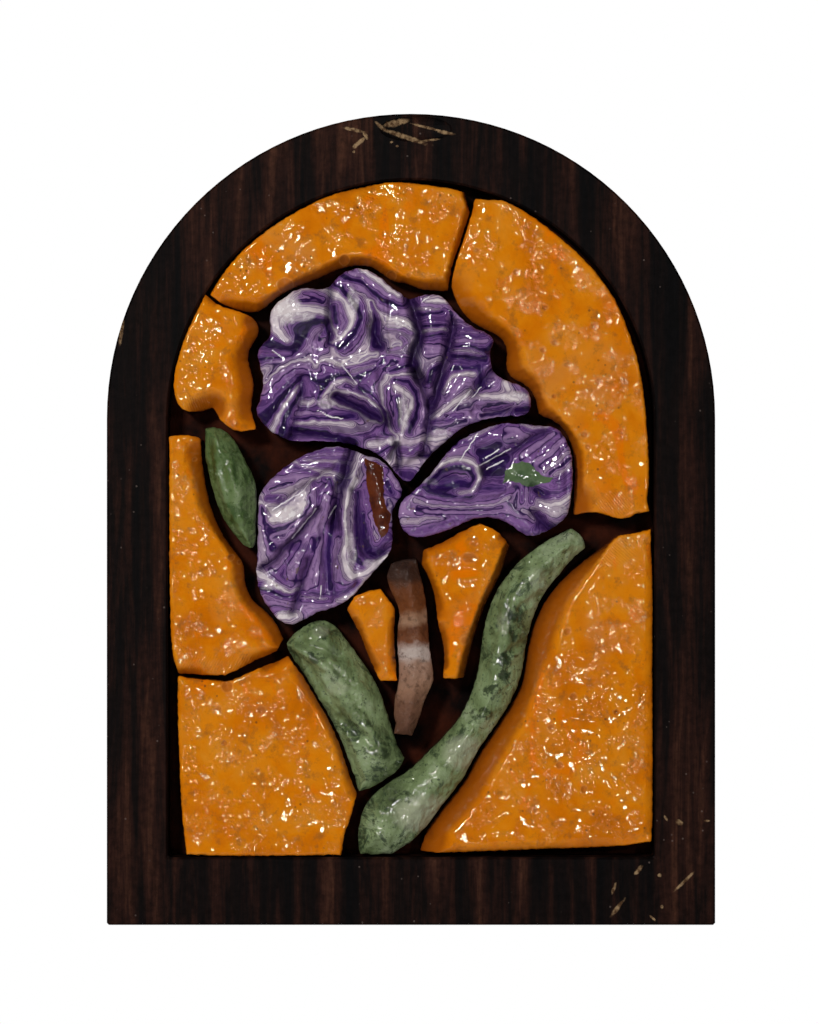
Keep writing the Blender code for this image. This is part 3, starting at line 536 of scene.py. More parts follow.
FOLDS = {
    "upper_petals": [
        ([(-33.4, 157), (-33.1, 150), (-33.1, 142), (-32.9, 137.5), (-33.6, 133)], 1.5, -2.6),
        ([(-64, 130.5), (-55, 130), (-48, 129.6), (-45.5, 131)], 1.6, -1.5),
        ([(-38.5, 135), (-36, 138.5), (-33.5, 141)], 1.2, -1.3),
        ([(-44.8, 119), (-44.4, 112), (-46.5, 104), (-50, 96)], 1.7, -1.9),
        ([(-57.5, 98), (-53, 108), (-49, 115)], 1.1, -0.8),
        ([(-61, 114), (-58, 121), (-50, 125), (-43, 128)], 1.1, -0.5),
        ([(-30.5, 111), (-25, 108.6), (-17, 104), (-10.5, 100.4)], 2.7, -3.2),
        ([(-38, 111), (-30, 113.4), (-21, 112), (-12.5, 108)], 1.5, 0.7),
        ([(-48, 101), (-38, 101.6), (-30, 100.8), (-20, 97)], 2.3, 1.2),
        ([(-49, 97), (-38, 96.6), (-30, 96.8), (-25, 94.6)], 2.0, -2.1),
        ([(-29.5, 124), (-24, 117), (-17, 110), (-11, 104), (-7.6, 99), (-5.2, 94), (-3.4, 88)], 1.1, -1.4),
        ([(-12.6, 121), (-12, 114), (-11, 107), (-8.6, 100)], 1.4, -1.5),
        ([(-14.8, 142), (-14.4, 136), (-12.8, 131.4)], 2.3, -3.0),
        ([(-10.9, 150), (-10.6, 140), (-9.8, 130)], 1.1, 0.8),
        ([(-28.5, 152), (-27.6, 146), (-30, 139)], 1.5, -0.6),
        ([(-20, 160), (-15, 152), (-12.5, 146)], 1.6, -0.7),
        ([(-26, 157), (-21, 150), (-19, 143), (-22, 136), (-27, 130)], 1.8, 0.7),
        ([(-0.6, 150.5), (2.6, 144), (4, 137), (2, 131), (0.6, 125), (1.8, 121), (4, 118)], 2.1, -4.4),
        ([(2, 121), (5, 115), (7.4, 109), (7.8, 103), (6.6, 97), (5.5, 93)], 1.5, -2.6),
        ([(17.4, 142), (16, 134), (14.6, 127), (12.4, 120), (10.6, 113), (9.4, 107)], 2.2, -3.7),
        ([(34.5, 121.6), (30.4, 118.6), (27.6, 115), (25.6, 112)], 1.9, -2.4),
        ([(17, 126.6), (25, 126.2), (33, 127.2)], 1.6, -1.3),
        ([(17.6, 131.6), (24, 131.4), (29.6, 129.4)], 1.2, 0.5),
        ([(10.5, 102), (17, 110), (23.4, 118)], 2.3, 0.9),
        ([(28, 109), (36, 111), (46.4, 109.6)], 2.6, 1.3),
        ([(31, 104), (40, 105), (46.5, 103.6)], 1.7, -1.8),
        ([(-6.4, 117), (-4, 108), (-4.8, 98.5)], 0.9, -0.5),
        ([(-8, 119), (-4.2, 113), (-2.4, 106), (0.4, 98.6)], 1.1, 0.55),
        ([(-8.4, 92), (-5.6, 95), (-5.8, 89.6)], 1.3, -2.6),
        ([(13, 94), (8.4, 92), (4.4, 92.4)], 1.8, -2.2),
        ([(-6, 91), (-2, 91.6), (4, 93.6)], 1.3, 0.9),
    ],
    "lower_left_petal": [
        ([(-31, 89.8), (-36, 88), (-42, 86), (-50, 83), (-58, 80)], 1.3, -1.7),
        ([(-24, 95), (-26, 89.4), (-28.6, 85.4), (-31, 80), (-32, 76.4)], 2.1, -3.4),
        ([(-31, 80), (-30, 76), (-29.6, 72), (-31, 66), (-31.6, 59.6)], 1.2, -1.5),
        ([(-38, 80.2), (-43, 76.6), (-50, 72), (-57, 68), (-61.4, 66.4)], 1.6, -2.8),
        ([(-39, 81), (-44.6, 77.4), (-51, 73.2)], 0.8, 0.6),
        ([(-42.4, 68.8), (-44, 64.6), (-45.6, 61), (-48.4, 56.4)], 1.4, -2.4),
        ([(-36.4, 76), (-34.8, 68), (-34.2, 61)], 1.5, -0.9),
        ([(-21.8, 84), (-21.4, 78), (-20.8, 73), (-18.5, 69.6), (-13, 69), (-9.6, 71)], 2.0, -2.2),
        ([(-20.4, 89), (-22.4, 87), (-24, 84.6)], 1.3, -1.9),
        ([(-37.4, 84), (-34, 86.4), (-30.6, 85)], 1.6, -1.1),
        ([(-27, 85), (-27.6, 78), (-27.4, 72), (-26, 67), (-24, 63.6)], 2.0, 1.3),
        ([(-38.4, 78), (-38, 70), (-38.6, 61.6)], 2.4, 0.8),
        ([(-16.4, 90), (-13.4, 83), (-12.4, 76)], 2.8, 0.8),
        ([(-43, 60.6), (-37, 59.9), (-32, 59.3), (-27, 60.2), (-21.6, 63.6)], 0.9, -0.5),
        ([(-62, 61), (-56, 61.6), (-50, 61), (-47, 60)], 1.1, -0.5),
        ([(-45, 91.4), (-36, 92), (-27, 91.4)], 0.8, -0.5),
        ([(-49, 89), (-39, 89.8), (-29, 89.6)], 0.8, 0.4),
        ([(-56, 71.4), (-52, 66.6), (-49, 63.6)], 1.4, 0.7),
    ],
    "lower_right_petal": [
        ([(5.6, 86.2), (10, 89.2), (15, 91.8), (22, 92.4), (27, 90.6), (28.4, 87.5), (26, 84.4),
          (20, 82.8)], 1.6, 1.0),
        ([(29.6, 89), (34, 91), (38, 92.4), (44, 94.6), (50, 96.6), (56, 98)], 1.8, -2.1),
        ([(29.4, 94), (35, 94), (38.4, 91.4)], 2.3, -1.2),
        ([(29.4, 89.4), (32, 87.2), (37.4, 88)], 2.0, -1.5),
        ([(50, 85.2), (53, 84), (55.4, 83.2)], 1.5, -1.7),
        ([(50.6, 79), (54.8, 77), (59, 75.8)], 1.9, -2.7),
        ([(5, 83.6), (15, 82.2), (25, 81.6), (35, 82.6), (41.6, 84.8)], 0.9, -0.45),
        ([(3, 81), (15, 80.4), (28, 79.8), (38, 80.8)], 0.9, -0.4),
        ([(23, 82.8), (30, 83.7), (38, 84.2)], 0.9, 0.55),
        ([(43.6, 85.6), (42.6, 82.4), (46, 79.4), (49, 77.6)], 1.2, -0.6),
        ([(61, 96), (63.4, 90), (64, 84)], 1.0, -0.4),
        ([(52, 92.6), (57, 95.4), (62.6, 96)], 0.9, -0.4),
        ([(8, 86), (12, 85.2), (20, 85.2)], 0.9, -0.7),
        ([(-2, 78.6), (4, 77.6), (11, 77.6)], 0.9, 0.4),
        ([(14.6, 77.4), (16.4, 78.4), (18.6, 76.8)], 0.8, -0.5),
    ],
}
print("folds:", {node: len(folds) for node, folds in FOLDS.items()})

# %% [markdown]
# Between the folds the petals swell and sink, which is written as round bulges: a centre, two half
# sizes and a rise in mm. A scraper also left straight nicks in the varnish, which are carved shallow
# and painted white along their middle as highlights.

# %% Bulges and nicks
BULGES = {
    "upper_petals": [
        ((-45, 146.6), 8.2, 6.6, 2.6), ((-2.6, 108), 4.8, 8.6, 2.0), ((0, 90), 5.2, 4.0, -2.6),
        ((-21, 150), 8.6, 8.6, 0.9), ((-5, 141), 3.8, 7.0, 0.9), ((8.6, 141), 4.0, 7.6, 1.1),
        ((25.6, 134), 5.0, 4.0, 1.1), ((26.6, 105), 1.9, 1.9, -1.7), ((-56, 108), 4.6, 9.0, 0.8),
        ((-12.2, 96.4), 1.5, 1.5, -1.4), ((-43.8, 118.6), 1.3, 1.1, -0.8), ((18, 102), 5.6, 3.0, 0.6),
        ((-38.6, 117), 3.4, 3.0, 0.4), ((-36.4, 125), 4.0, 4.4, 0.5), ((-22, 122), 6.6, 4.2, 0.5),
        ((-7.6, 134), 1.0, 0.8, -0.6), ((-20.4, 128.6), 0.6, 0.6, 0.5), ((-5.4, 112), 0.6, 0.6, -0.4),
    ],
    "lower_left_petal": [
        ((-52, 78), 6.2, 4.8, 1.0), ((-51, 86), 7.4, 3.2, 1.1), ((-36, 91), 6.4, 2.6, 0.5),
        ((-54, 60), 4.8, 4.6, 0.8), ((-47.6, 69.6), 4.6, 5.4, 0.8), ((-9, 83), 1.6, 2.4, 0.6),
    ],
    "lower_right_petal": [
        ((16, 86.6), 6.6, 3.7, -2.3), ((60.6, 88.6), 4.4, 8.8, 0.9), ((58.6, 80), 4.2, 3.2, 0.8),
        ((41, 97), 6.8, 2.6, 0.8), ((8, 78.4), 8.0, 4.0, 0.6), ((46.4, 88), 5.4, 3.4, 0.5),
        ((32, 78.6), 7.0, 2.2, 0.4),
    ],
}

# half the width and the rise of each nick in mm
NICK = (0.45, -0.12)
NICKS = {
    "upper_petals": [
        [(-57, 130), (-52.5, 126.4)], [(-55, 136.6), (-52, 133.4)], [(-28.4, 124), (-22, 116)],
        [(-38.4, 105.2), (-33, 102.6), (-28, 101.8)], [(-17.6, 109.6), (-14.4, 106.4)],
        [(24.4, 113.4), (17, 105)], [(28.8, 115), (25, 110.6)], [(4.4, 149.6), (7.6, 152)],
    ],
    "lower_left_petal": [
        [(-39, 80.4), (-49, 73.4)], [(-31, 81), (-34, 78)], [(-37, 62.6), (-37.4, 59.6)],
        [(-57, 80), (-44, 84.4)],
    ],
    "lower_right_petal": [
        [(27.4, 97.6), (20, 91.4)], [(28, 90.2), (41, 94.2)], [(31, 89.4), (38, 91.4)],
        [(30.4, 92), (36, 94)],
    ],
}
print("bulges:", {node: len(bulges) for node, bulges in BULGES.items()})

# %% [markdown]
# Band lines come next. The stone's layers are drawn like a map: each line says how high the layer
# lies there, and the heights between two lines run smoothly from one to the other. The material
# later folds that height at every five steps. It is dark at 0, mid purple at 2, light purple at 3
# and white at 5, and then it goes back to dark at 10, with hairline seams on the way.

# %% Layers of the purple stone
FOLD_STEPS = 5.0
LAYERS = {
    "upper_petals": [
        (2, [(-44, 153.5), (-40, 152.6), (-36, 151)]),
        (2.2, [(-46, 150), (-41, 150), (-36, 149.6)]),
        (5, [(-53, 146), (-48, 147), (-42, 147), (-37, 146), (-34.5, 145)]),
        (5, [(-57, 146), (-54, 150), (-49, 154), (-43, 155.6)]),
        (5, [(-56, 142), (-55, 138), (-51, 134)]),
        (10, [(-59, 133), (-53, 131), (-47.5, 130.4), (-45.5, 133), (-43.5, 137), (-41, 140.5),
              (-35, 141.6)]),
        (8, [(-62, 129), (-56, 129), (-50, 128.6)]),
        (13.3, [(-37, 139.5), (-40.5, 136), (-42.5, 130), (-45, 127), (-50, 125.5), (-55, 123),
                (-60, 117)]),
        (12.6, [(-35.4, 134), (-38.6, 129), (-39.6, 125)]),
        (17, [(-61, 114), (-57, 118.6), (-52, 121.6), (-48, 124), (-41, 124)]),
        (18, [(-57, 112), (-53, 117), (-48, 121), (-44, 122)]),
        (18.4, [(-61, 108), (-57, 110), (-53, 114), (-48, 117.6)]),
        (20, [(-60, 101), (-57, 105), (-53.4, 110), (-50, 113.6), (-47, 117.6)]),
        (25, [(-57, 98), (-54, 103), (-52, 107), (-49, 111), (-46, 115)]),
        (20, [(-54, 97), (-51.6, 102), (-48.6, 107.5), (-46, 111.5), (-45, 114.6)]),
        (22, [(-43, 118), (-41.4, 114), (-41, 111)]),
        (18, [(-36, 123), (-32, 122), (-28, 120.6)]),
        (20, [(-38.4, 109.6), (-36.6, 112.6), (-33.6, 117), (-30, 119.6), (-26, 120)]),
        (25, [(-22, 116.4), (-27, 118), (-31.6, 116.4), (-34.6, 113), (-36.4, 110.6)]),
        (30, [(-31, 111), (-27, 109.4), (-20, 106.4), (-13, 102)]),
        (28, [(-25, 110.6), (-19, 108), (-14, 104.6)]),
        (25, [(-45, 108.6), (-42, 108), (-40, 109)]),
        (22, [(-46.6, 105.8), (-41, 105.6), (-35, 106)]),
        (23.4, [(-47, 103.4), (-43, 104.2), (-36, 103.4)]),
        (20, [(-48, 101.4), (-43, 102), (-40.5, 103.2), (-38.4, 101.8), (-33, 101.8), (-24, 102.6)]),
        (25, [(-47.6, 100.4), (-38, 100.4), (-30, 100.2), (-24, 99.8)]),
        (24, [(-32, 98.6), (-24, 98.2), (-17, 99)]),
        (20, [(-48.4, 99), (-42, 98), (-35, 97.6), (-28, 96.6), (-23, 95.6)]),
        (22, [(-46, 96.2), (-38, 96.4), (-33, 95.6)]),
        (22, [(-20, 97), (-16, 97.4), (-14, 98.6)]),
        (25, [(-17, 95.2), (-12, 95.4), (-8.6, 96)]),
        (5, [(-33, 154), (-29, 152), (-26, 148), (-23.6, 144), (-24.6, 139), (-28, 135), (-32, 133)]),
        (0, [(-31.6, 148), (-31.4, 144), (-30.4, 141)]),
        (2.6, [(-33, 150), (-29.6, 149), (-28, 145), (-26.6, 141), (-29, 137)]),
        (10, [(-28.5, 156), (-25, 151), (-21.6, 147), (-20.4, 143), (-22.4, 139), (-26, 135),
              (-29.6, 131)]),
        (12, [(-24, 154.4), (-20, 149), (-18.6, 143), (-20, 137), (-24, 132), (-27, 129)]),
        (14, [(-26, 155.6), (-19, 152), (-16.4, 146), (-16.8, 141), (-17.6, 135), (-19, 131)]),
        (20, [(-16.6, 149), (-14.6, 143), (-15, 137), (-15.4, 131.4), (-12.6, 131)]),
        (13, [(-29, 157.6), (-22, 157), (-17, 153.4), (-13, 148), (-8, 146), (-2, 145.4)]),
        (10, [(-27, 159.4), (-20, 157.8), (-15, 152.8), (-11, 150), (-6.4, 148.8)]),
        (7, [(-25, 161.6), (-19, 159), (-14, 155), (-9, 151.6), (-4, 149.8)]),
        (5, [(-20, 163), (-14, 159), (-9, 155), (-5, 152.4)]),
        (15, [(-10.4, 142), (-6, 142.6), (-2, 140.8), (1.4, 138.4)]),
        (17.6, [(-9.4, 139.6), (-4, 138.6), (0, 136.6)]),
        (16, [(-8, 137), (-3, 136.4), (1, 135)]),
        (15, [(-8, 131.6), (-5, 133), (-3.6, 132)]),
        (17.6, [(-4, 134.8), (-2.2, 133), (-4, 130.8), (-8, 130.4)]),
        (16, [(-1, 131), (-5, 129.6), (-9, 129)]),
        (18, [(-9, 127), (-5, 126.4), (-1, 126)]),
        (20, [(-9, 121), (-4, 122.8), (0, 124)]),
        (16.8, [(-9, 119.6), (-4, 121), (0.4, 121.4)]),
        (15, [(-28, 124.6), (-22, 124.6), (-18, 127), (-14, 128.6)]),
        (14.4, [(-32.4, 131), (-31, 127.6), (-28.6, 124.6)]),
        (17.6, [(-25.4, 122.6), (-20, 123.8), (-14, 125.2)]),
        (16, [(-24, 121), (-19, 122.2), (-14, 124)]),
        (20, [(-23, 118.4), (-19, 120.6), (-15, 122.4), (-11, 126)]),
        (18, [(-21, 116), (-15, 118), (-12.6, 121)]),
        (12, [(-9, 114), (-9.6, 108), (-8, 103), (-5.6, 98.6)]),
        (10, [(-5.4, 110), (-4.6, 105), (-5, 99)]),
        (15, [(-6.6, 115), (-3.6, 113), (0.4, 110.4), (0, 106), (-2.6, 102), (-3.8, 98)]),
        (10, [(-7, 117.8), (-1, 117), (2, 113), (3, 108), (2, 103), (-0.6, 98)]),
        (13.2, [(-9, 119.4), (0, 119), (3.4, 114.4), (5.4, 108), (4.6, 102), (2.4, 98)]),
        (15, [(6, 149.6), (10, 150), (14, 149.6)]),
        (10.6, [(0.6, 149.8), (2.4, 148.8)]),
        (12.5, [(5, 148.6), (10, 148.2), (15, 147.6)]),
        (14.2, [(1, 147.4), (6, 147), (12, 146.6)]),
        (10, [(3, 145), (9, 144.9), (13, 145.8)]),
        (12, [(5, 143), (10, 143), (14, 143)]),
        (10, [(4.6, 139.4), (10, 139.9), (14, 139.8)]),
        (15, [(5, 138), (9, 138.4), (14, 138.6)]),
        (10.4, [(5, 135.6), (10, 136.2), (14, 136.6)]),
        (12, [(6, 133.4), (10, 133.8), (13.6, 134)]),
        (13, [(6, 129), (12, 130)]),
        (13.2, [(19, 142), (24, 140)]),
        (10.4, [(19.6, 138.4), (24, 138.6), (28, 137.6)]),
        (13.2, [(20, 137.5), (25, 137.3), (29, 136.8)]),
        (10.4, [(19, 136.4), (23, 136.2), (27, 135.2), (30, 136.4)]),
        (13, [(19, 133.6), (25, 133.6), (31, 133.8)]),
        (10, [(18, 131.2), (24, 131.4), (28, 129.8), (31.5, 129.6), (33, 132)]),
        (14.2, [(17.6, 130.2), (23, 130), (28, 128.6)]),
        (10, [(17, 127.6), (22, 127.4), (30, 126.4)]),
        (11.8, [(18, 124.8), (26, 124.6)]),
        (10, [(16.6, 122.4), (22, 122.8), (27.4, 123), (28.6, 118), (28, 114)]),
        (15, [(13, 113), (15, 117), (18, 119.8), (22, 120.2), (26, 120.4)]),
        (12.4, [(15.6, 114), (17.4, 117), (20, 118), (23.6, 117)]),
        (13, [(15, 109), (18, 112), (22, 115.4)]),
        (15, [(9, 101.8), (14, 105.6), (18, 108.8), (24, 112.4)]),
        (13.6, [(12, 101.6), (18, 104.6), (24, 108), (27, 111)]),
        (10.8, [(14, 102.8), (18, 104)]),
        (10.8, [(9, 100.6), (14, 101), (20, 102.6)]),
        (13.6, [(9, 98.8), (15, 99.2), (22, 101.4)]),
        (12.4, [(8, 97.8), (13, 97.6), (17, 98)]),
        (15, [(7, 96.4), (11, 96.6), (14, 96.8)]),
        (15, [(28, 111.4), (33, 110.6), (38, 111), (44, 109.4)]),
        (12.4, [(29, 113.4), (34, 115), (37, 118)]),
        (13.2, [(31, 117.6), (34, 117.4)]),
        (15, [(38.6, 117), (40, 114)]),
        (13, [(43, 116), (46, 111), (48, 108.6)]),
        (12.4, [(28, 107.6), (33, 108), (39, 108.6)]),
        (11.8, [(30, 105), (36, 106.2), (42, 107.6)]),
        (13.6, [(29, 103.6), (37, 104.8), (44, 107.4)]),
        (10, [(43, 105.6), (48, 106.4)]),
        (14, [(5, 120), (8, 124.6), (12, 126.4)]),
        (10, [(7, 117), (8.6, 121.6), (11.4, 123.4)]),
        (13.4, [(10, 112), (11.4, 118), (15, 124)]),
        (10.6, [(9, 108), (12.4, 114), (15, 120.6)]),
        (14.2, [(-5, 95.6), (0, 95.4), (5, 96.4)]),
        (11.6, [(-4, 93.8), (0, 93.4), (4, 94.6)]),
        (14.2, [(-4, 90.8), (2, 91.4)]),
        (11, [(-4, 88.6), (0, 88)]),
    ],
    "lower_left_petal": [
        (4.8, [(-41, 93.9), (-35, 94.7), (-28, 94.9)]),
        (0.6, [(-45, 92.9), (-36, 93.5), (-27, 93.9)]),
        (3.1, [(-46, 92.4), (-36, 92.8), (-26, 92.7)]),
        (0.8, [(-46, 91.9), (-36, 92.1), (-27, 91.9)]),
        (4.6, [(-44, 91.7), (-36, 91.4), (-26.6, 91.2)]),
        (1.2, [(-45, 90.8), (-36, 90.3), (-28, 89.6)]),
        (4.2, [(-48, 91), (-42, 89.8), (-37, 88.7)]),
        (0.4, [(-48, 90), (-43, 89.2), (-38, 88.1)]),
        (2, [(-56, 88.4), (-48, 88.8), (-44, 88.6)]),
        (3.2, [(-59, 86), (-52, 87.2), (-44, 87.8)]),
        (2.2, [(-58, 84.6), (-54, 85.6), (-49, 86.4)]),
        (4, [(-57, 84), (-51, 84.8), (-44, 86.6)]),
        (0.6, [(-59.4, 82.4), (-56, 83), (-54, 82.6)]),
        (4.2, [(-61.6, 83), (-60, 81.4)]),
        (5, [(-58, 80.4), (-52, 80.4), (-46, 82), (-43.5, 83.6)]),
        (5, [(-57.6, 77.6), (-51, 78), (-46, 79.4), (-43, 81.8)]),
        (7.8, [(-61, 81), (-60, 77), (-57, 75.2), (-52, 75.8), (-47.6, 77.6), (-43.6, 79),
               (-41.4, 81), (-41.4, 83)]),
        (6.6, [(-57, 73.4), (-52, 74.8), (-46, 77.4)]),
        (6.8, [(-42, 79), (-40, 81.4), (-39.8, 84)]),
        (8.6, [(-39.4, 86), (-37.4, 84), (-38, 81.6)]),
        (6.2, [(-62, 76), (-61.4, 72), (-60, 68.4)]),
        (7.8, [(-59.8, 76), (-58.4, 73.4), (-57, 71.4)]),
        (5.6, [(-36, 88.1), (-33, 88.1), (-31, 86.4), (-30.6, 84.6)]),
        (9.8, [(-36, 87.4), (-33, 87), (-32, 85)]),
        (8, [(-37, 86), (-35, 85), (-33, 84)]),
        (6.8, [(-35, 83), (-38, 77), (-44, 71), (-50, 66.6)]),
        (8, [(-32.8, 81), (-35.4, 76), (-39, 71), (-43, 66.6)]),
        (6.8, [(-33.6, 80.8), (-36.4, 75), (-38.4, 69), (-39.6, 63.4)]),
        (8, [(-46, 72), (-50, 69), (-54, 66)]),
        (6.8, [(-51, 69.4), (-55, 66.8)]),
        (9, [(-52, 67), (-53.4, 65), (-51, 63.6)]),
        (7, [(-48, 67), (-50, 64.4)]),
        (5, [(-62.6, 65.4), (-58, 64), (-54, 62.2), (-50, 61), (-46.6, 61.6)]),
        (8, [(-57.6, 66), (-54, 64), (-49, 62.6)]),
        (9.6, [(-62, 62), (-57, 61.4), (-53, 60.3), (-50, 60), (-47, 60.8)]),
        (6.9, [(-60, 60), (-54, 59), (-49, 58)]),
        (8.2, [(-56, 57), (-50, 57.2)]),
        (5, [(-54, 55.6), (-50, 55.6), (-47.6, 56)]),
        (8.2, [(-45, 65), (-43, 69.4), (-41, 73.6)]),
        (7, [(-42.6, 61.8), (-40.4, 66), (-38.8, 71)]),
        (8.2, [(-36.6, 61), (-36, 66), (-35.6, 72), (-34.6, 77)]),
        (10, [(-33, 62), (-33.6, 68), (-33.6, 72), (-32, 78), (-31, 81)]),
        (6.8, [(-31.4, 64), (-31.2, 70), (-30.4, 73)]),
        (8, [(-30, 79.6), (-29.6, 75)]),
        (9, [(-44.6, 60.9), (-38, 60.7), (-33, 60.5)]),
        (6, [(-44.6, 60.2), (-39, 59.7), (-34.6, 59.5)]),
        (8.4, [(-44, 59.4), (-37, 58.9), (-33, 59.1)]),
        (6.8, [(-44, 58.2), (-38, 58), (-33, 58.2)]),
        (9, [(-31, 60.4), (-26, 61.4), (-21.6, 63.4)]),
        (5.6, [(-30, 59.4), (-25, 60.2), (-21, 62.2), (-18.6, 64)]),
        (5, [(-22.6, 86.6), (-25, 84.6), (-27, 80), (-26.8, 76), (-26.2, 72), (-28, 69.4), (-26, 66),
             (-24, 64.4), (-20, 65.2), (-16, 66.8), (-10, 69.8)]),
        (8, [(-28.8, 80), (-28.6, 74)]),
        (6.2, [(-24, 82), (-24, 76), (-24.2, 71)]),
        (9.6, [(-21.8, 84), (-22.6, 79), (-22.4, 73), (-23, 69), (-20, 67.6)]),
        (8.6, [(-21, 82), (-20.6, 76), (-20.6, 72)]),
        (10, [(-19.6, 79), (-19.4, 73), (-16, 69.9), (-12, 70.4)]),
        (8, [(-19, 86), (-17.6, 80), (-16, 75.4)]),
        (6.2, [(-17, 79), (-15.6, 76), (-13.8, 73.4)]),
        (9.4, [(-18, 77), (-17, 73)]),
        (6, [(-19, 91.4), (-15.4, 92), (-11, 91)]),
        (8.2, [(-18, 90.4), (-14, 90.8), (-10.6, 89)]),
        (9.6, [(-9.6, 86.4), (-8, 84)]),
        (6.8, [(-8.4, 88), (-6, 85.6)]),
        (6.4, [(-9, 82.4), (-8.6, 78)]),
        (9, [(-9.4, 74), (-12, 72), (-16, 70.4)]),
    ],
    "lower_right_petal": [
        (5, [(5, 86.6), (9, 88.4), (13, 90.6), (18, 91.6), (23, 91.4), (27, 90), (28.2, 88),
             (27, 85.8), (24, 84.2), (20, 83.7)]),
        (10, [(7, 86.6), (12, 89), (19, 90), (24, 89.2), (25.4, 87.4), (23.6, 85.4)]),
        (12.4, [(9, 85.8), (14, 88), (19, 88.7), (23.4, 88), (24.2, 86.6)]),
        (10, [(12, 85.4), (17, 86), (21, 86.2)]),
        (12, [(13, 86), (18, 87.3), (21, 87.4)]),
        (9.8, [(5, 85.4), (8, 84.2), (13, 83.2), (18, 82.9), (25, 83.2)]),
        (7, [(13, 92), (18, 93.6), (23, 94.6)]),
        (9.6, [(15, 94), (20, 96), (26, 95.4)]),
        (6, [(20, 96.5), (25, 96.7), (30, 98), (35, 99.6)]),
        (9, [(24, 96), (30, 97), (35, 99), (38, 99.6)]),
        (8, [(27, 95.4), (33, 96.6), (37, 98.6)]),
        (10, [(28, 93.4), (32, 94), (37, 95.4)]),
        (10, [(29, 91.4), (34, 92.2), (38.6, 92)]),
        (10, [(30, 88.4), (34, 88.6), (37, 89)]),
        (8.4, [(30, 86.4), (34, 86.8), (38, 86.2)]),
        (9.4, [(28, 84.8), (33, 85), (38, 85)]),
        (7, [(38.6, 98.8), (43, 98.6), (48, 97)]),
        (6.6, [(38.4, 96), (42, 96.6), (46, 95.6)]),
        (8.2, [(38, 99.7), (44, 99.6)]),
        (5.6, [(45.6, 99.7), (49, 98.7), (53, 98.9), (57, 99.4)]),
        (9.4, [(46, 98.9), (50, 98.1), (54, 98.2), (58, 98.7)]),
        (9, [(42, 93.8), (48, 95.8), (54, 97.4)]),
        (7, [(46, 92.6), (52, 95), (58, 97.6)]),
        (8.3, [(48, 91.6), (55, 94), (60, 96.6)]),
        (6.8, [(52, 91.4), (57, 93.4), (61.6, 95.8)]),
        (8, [(54, 90), (59, 92.2), (63, 94.8)]),
        (6.2, [(55, 89), (60, 91), (64.4, 93.2)]),
        (7.8, [(57, 88.6), (62, 90.4), (65, 91.8)]),
        (6, [(59, 88), (63, 89.4), (65.6, 90.6)]),
        (8.8, [(59, 86.2), (63, 87.4), (65.8, 88.6)]),
        (8, [(57, 85.4), (62, 86), (65.6, 87.6)]),
        (8.8, [(56, 84.2), (61, 83.8), (65.4, 85.6)]),
        (5.2, [(52, 82), (57, 81.2), (61, 81.4), (65, 83.2)]),
        (6, [(50, 80.6), (55, 79.6), (60, 79), (64.4, 80.4)]),
        (6.8, [(56, 78), (60, 77.4), (63.4, 78.8)]),
        (10, [(51, 84.4), (54, 84)]),
        (8.6, [(45.4, 84.6), (45.6, 82)]),
        (6.8, [(47.4, 84.6), (47.4, 81.4)]),
        (8.6, [(49, 84.4), (49, 82)]),
        (6.4, [(43.4, 84), (43, 81)]),
        (6, [(2, 82), (8, 81), (16, 80.7), (26, 80.9), (34, 81.2), (40, 83)]),
        (8, [(3, 84), (8, 82.8), (16, 82.1), (26, 82), (36, 83), (42, 84.4)]),
        (7, [(6, 82.2), (16, 81.5), (26, 81.4), (36, 82.2)]),
        (8, [(3, 81), (8, 80.2), (16, 80.1), (28, 80), (37, 80.6)]),
        (6.8, [(6, 79.7), (14, 79.5), (24, 79.4), (32, 79.3), (38, 79.8)]),
        (8, [(3, 79.2), (12, 78.9), (24, 78.7), (32, 78.7), (38, 78.8)]),
        (7, [(-3.6, 80.6), (0, 80.6)]),
        (6, [(-3, 77.2), (2, 77.4), (6, 78.4), (12, 78.3)]),
        (8.4, [(-4, 75.2), (4, 75.4), (12, 76.8), (20, 77.8)]),
        (6.6, [(40, 81.6), (43, 79.8), (46, 78.8)]),
        (8.2, [(41, 78), (45, 77.4), (48, 76.8)]),
        (6.2, [(46, 80), (49, 79), (51, 77.6)]),
        (9.4, [(52.4, 79), (51.8, 77), (50.8, 75.4)]),
        (9.4, [(54, 78), (57, 76.4)]),
        (8.4, [(44, 75.8), (49, 75)]),
    ],
}
print("band lines:", {node: len(band_lines) for node, band_lines in LAYERS.items()})
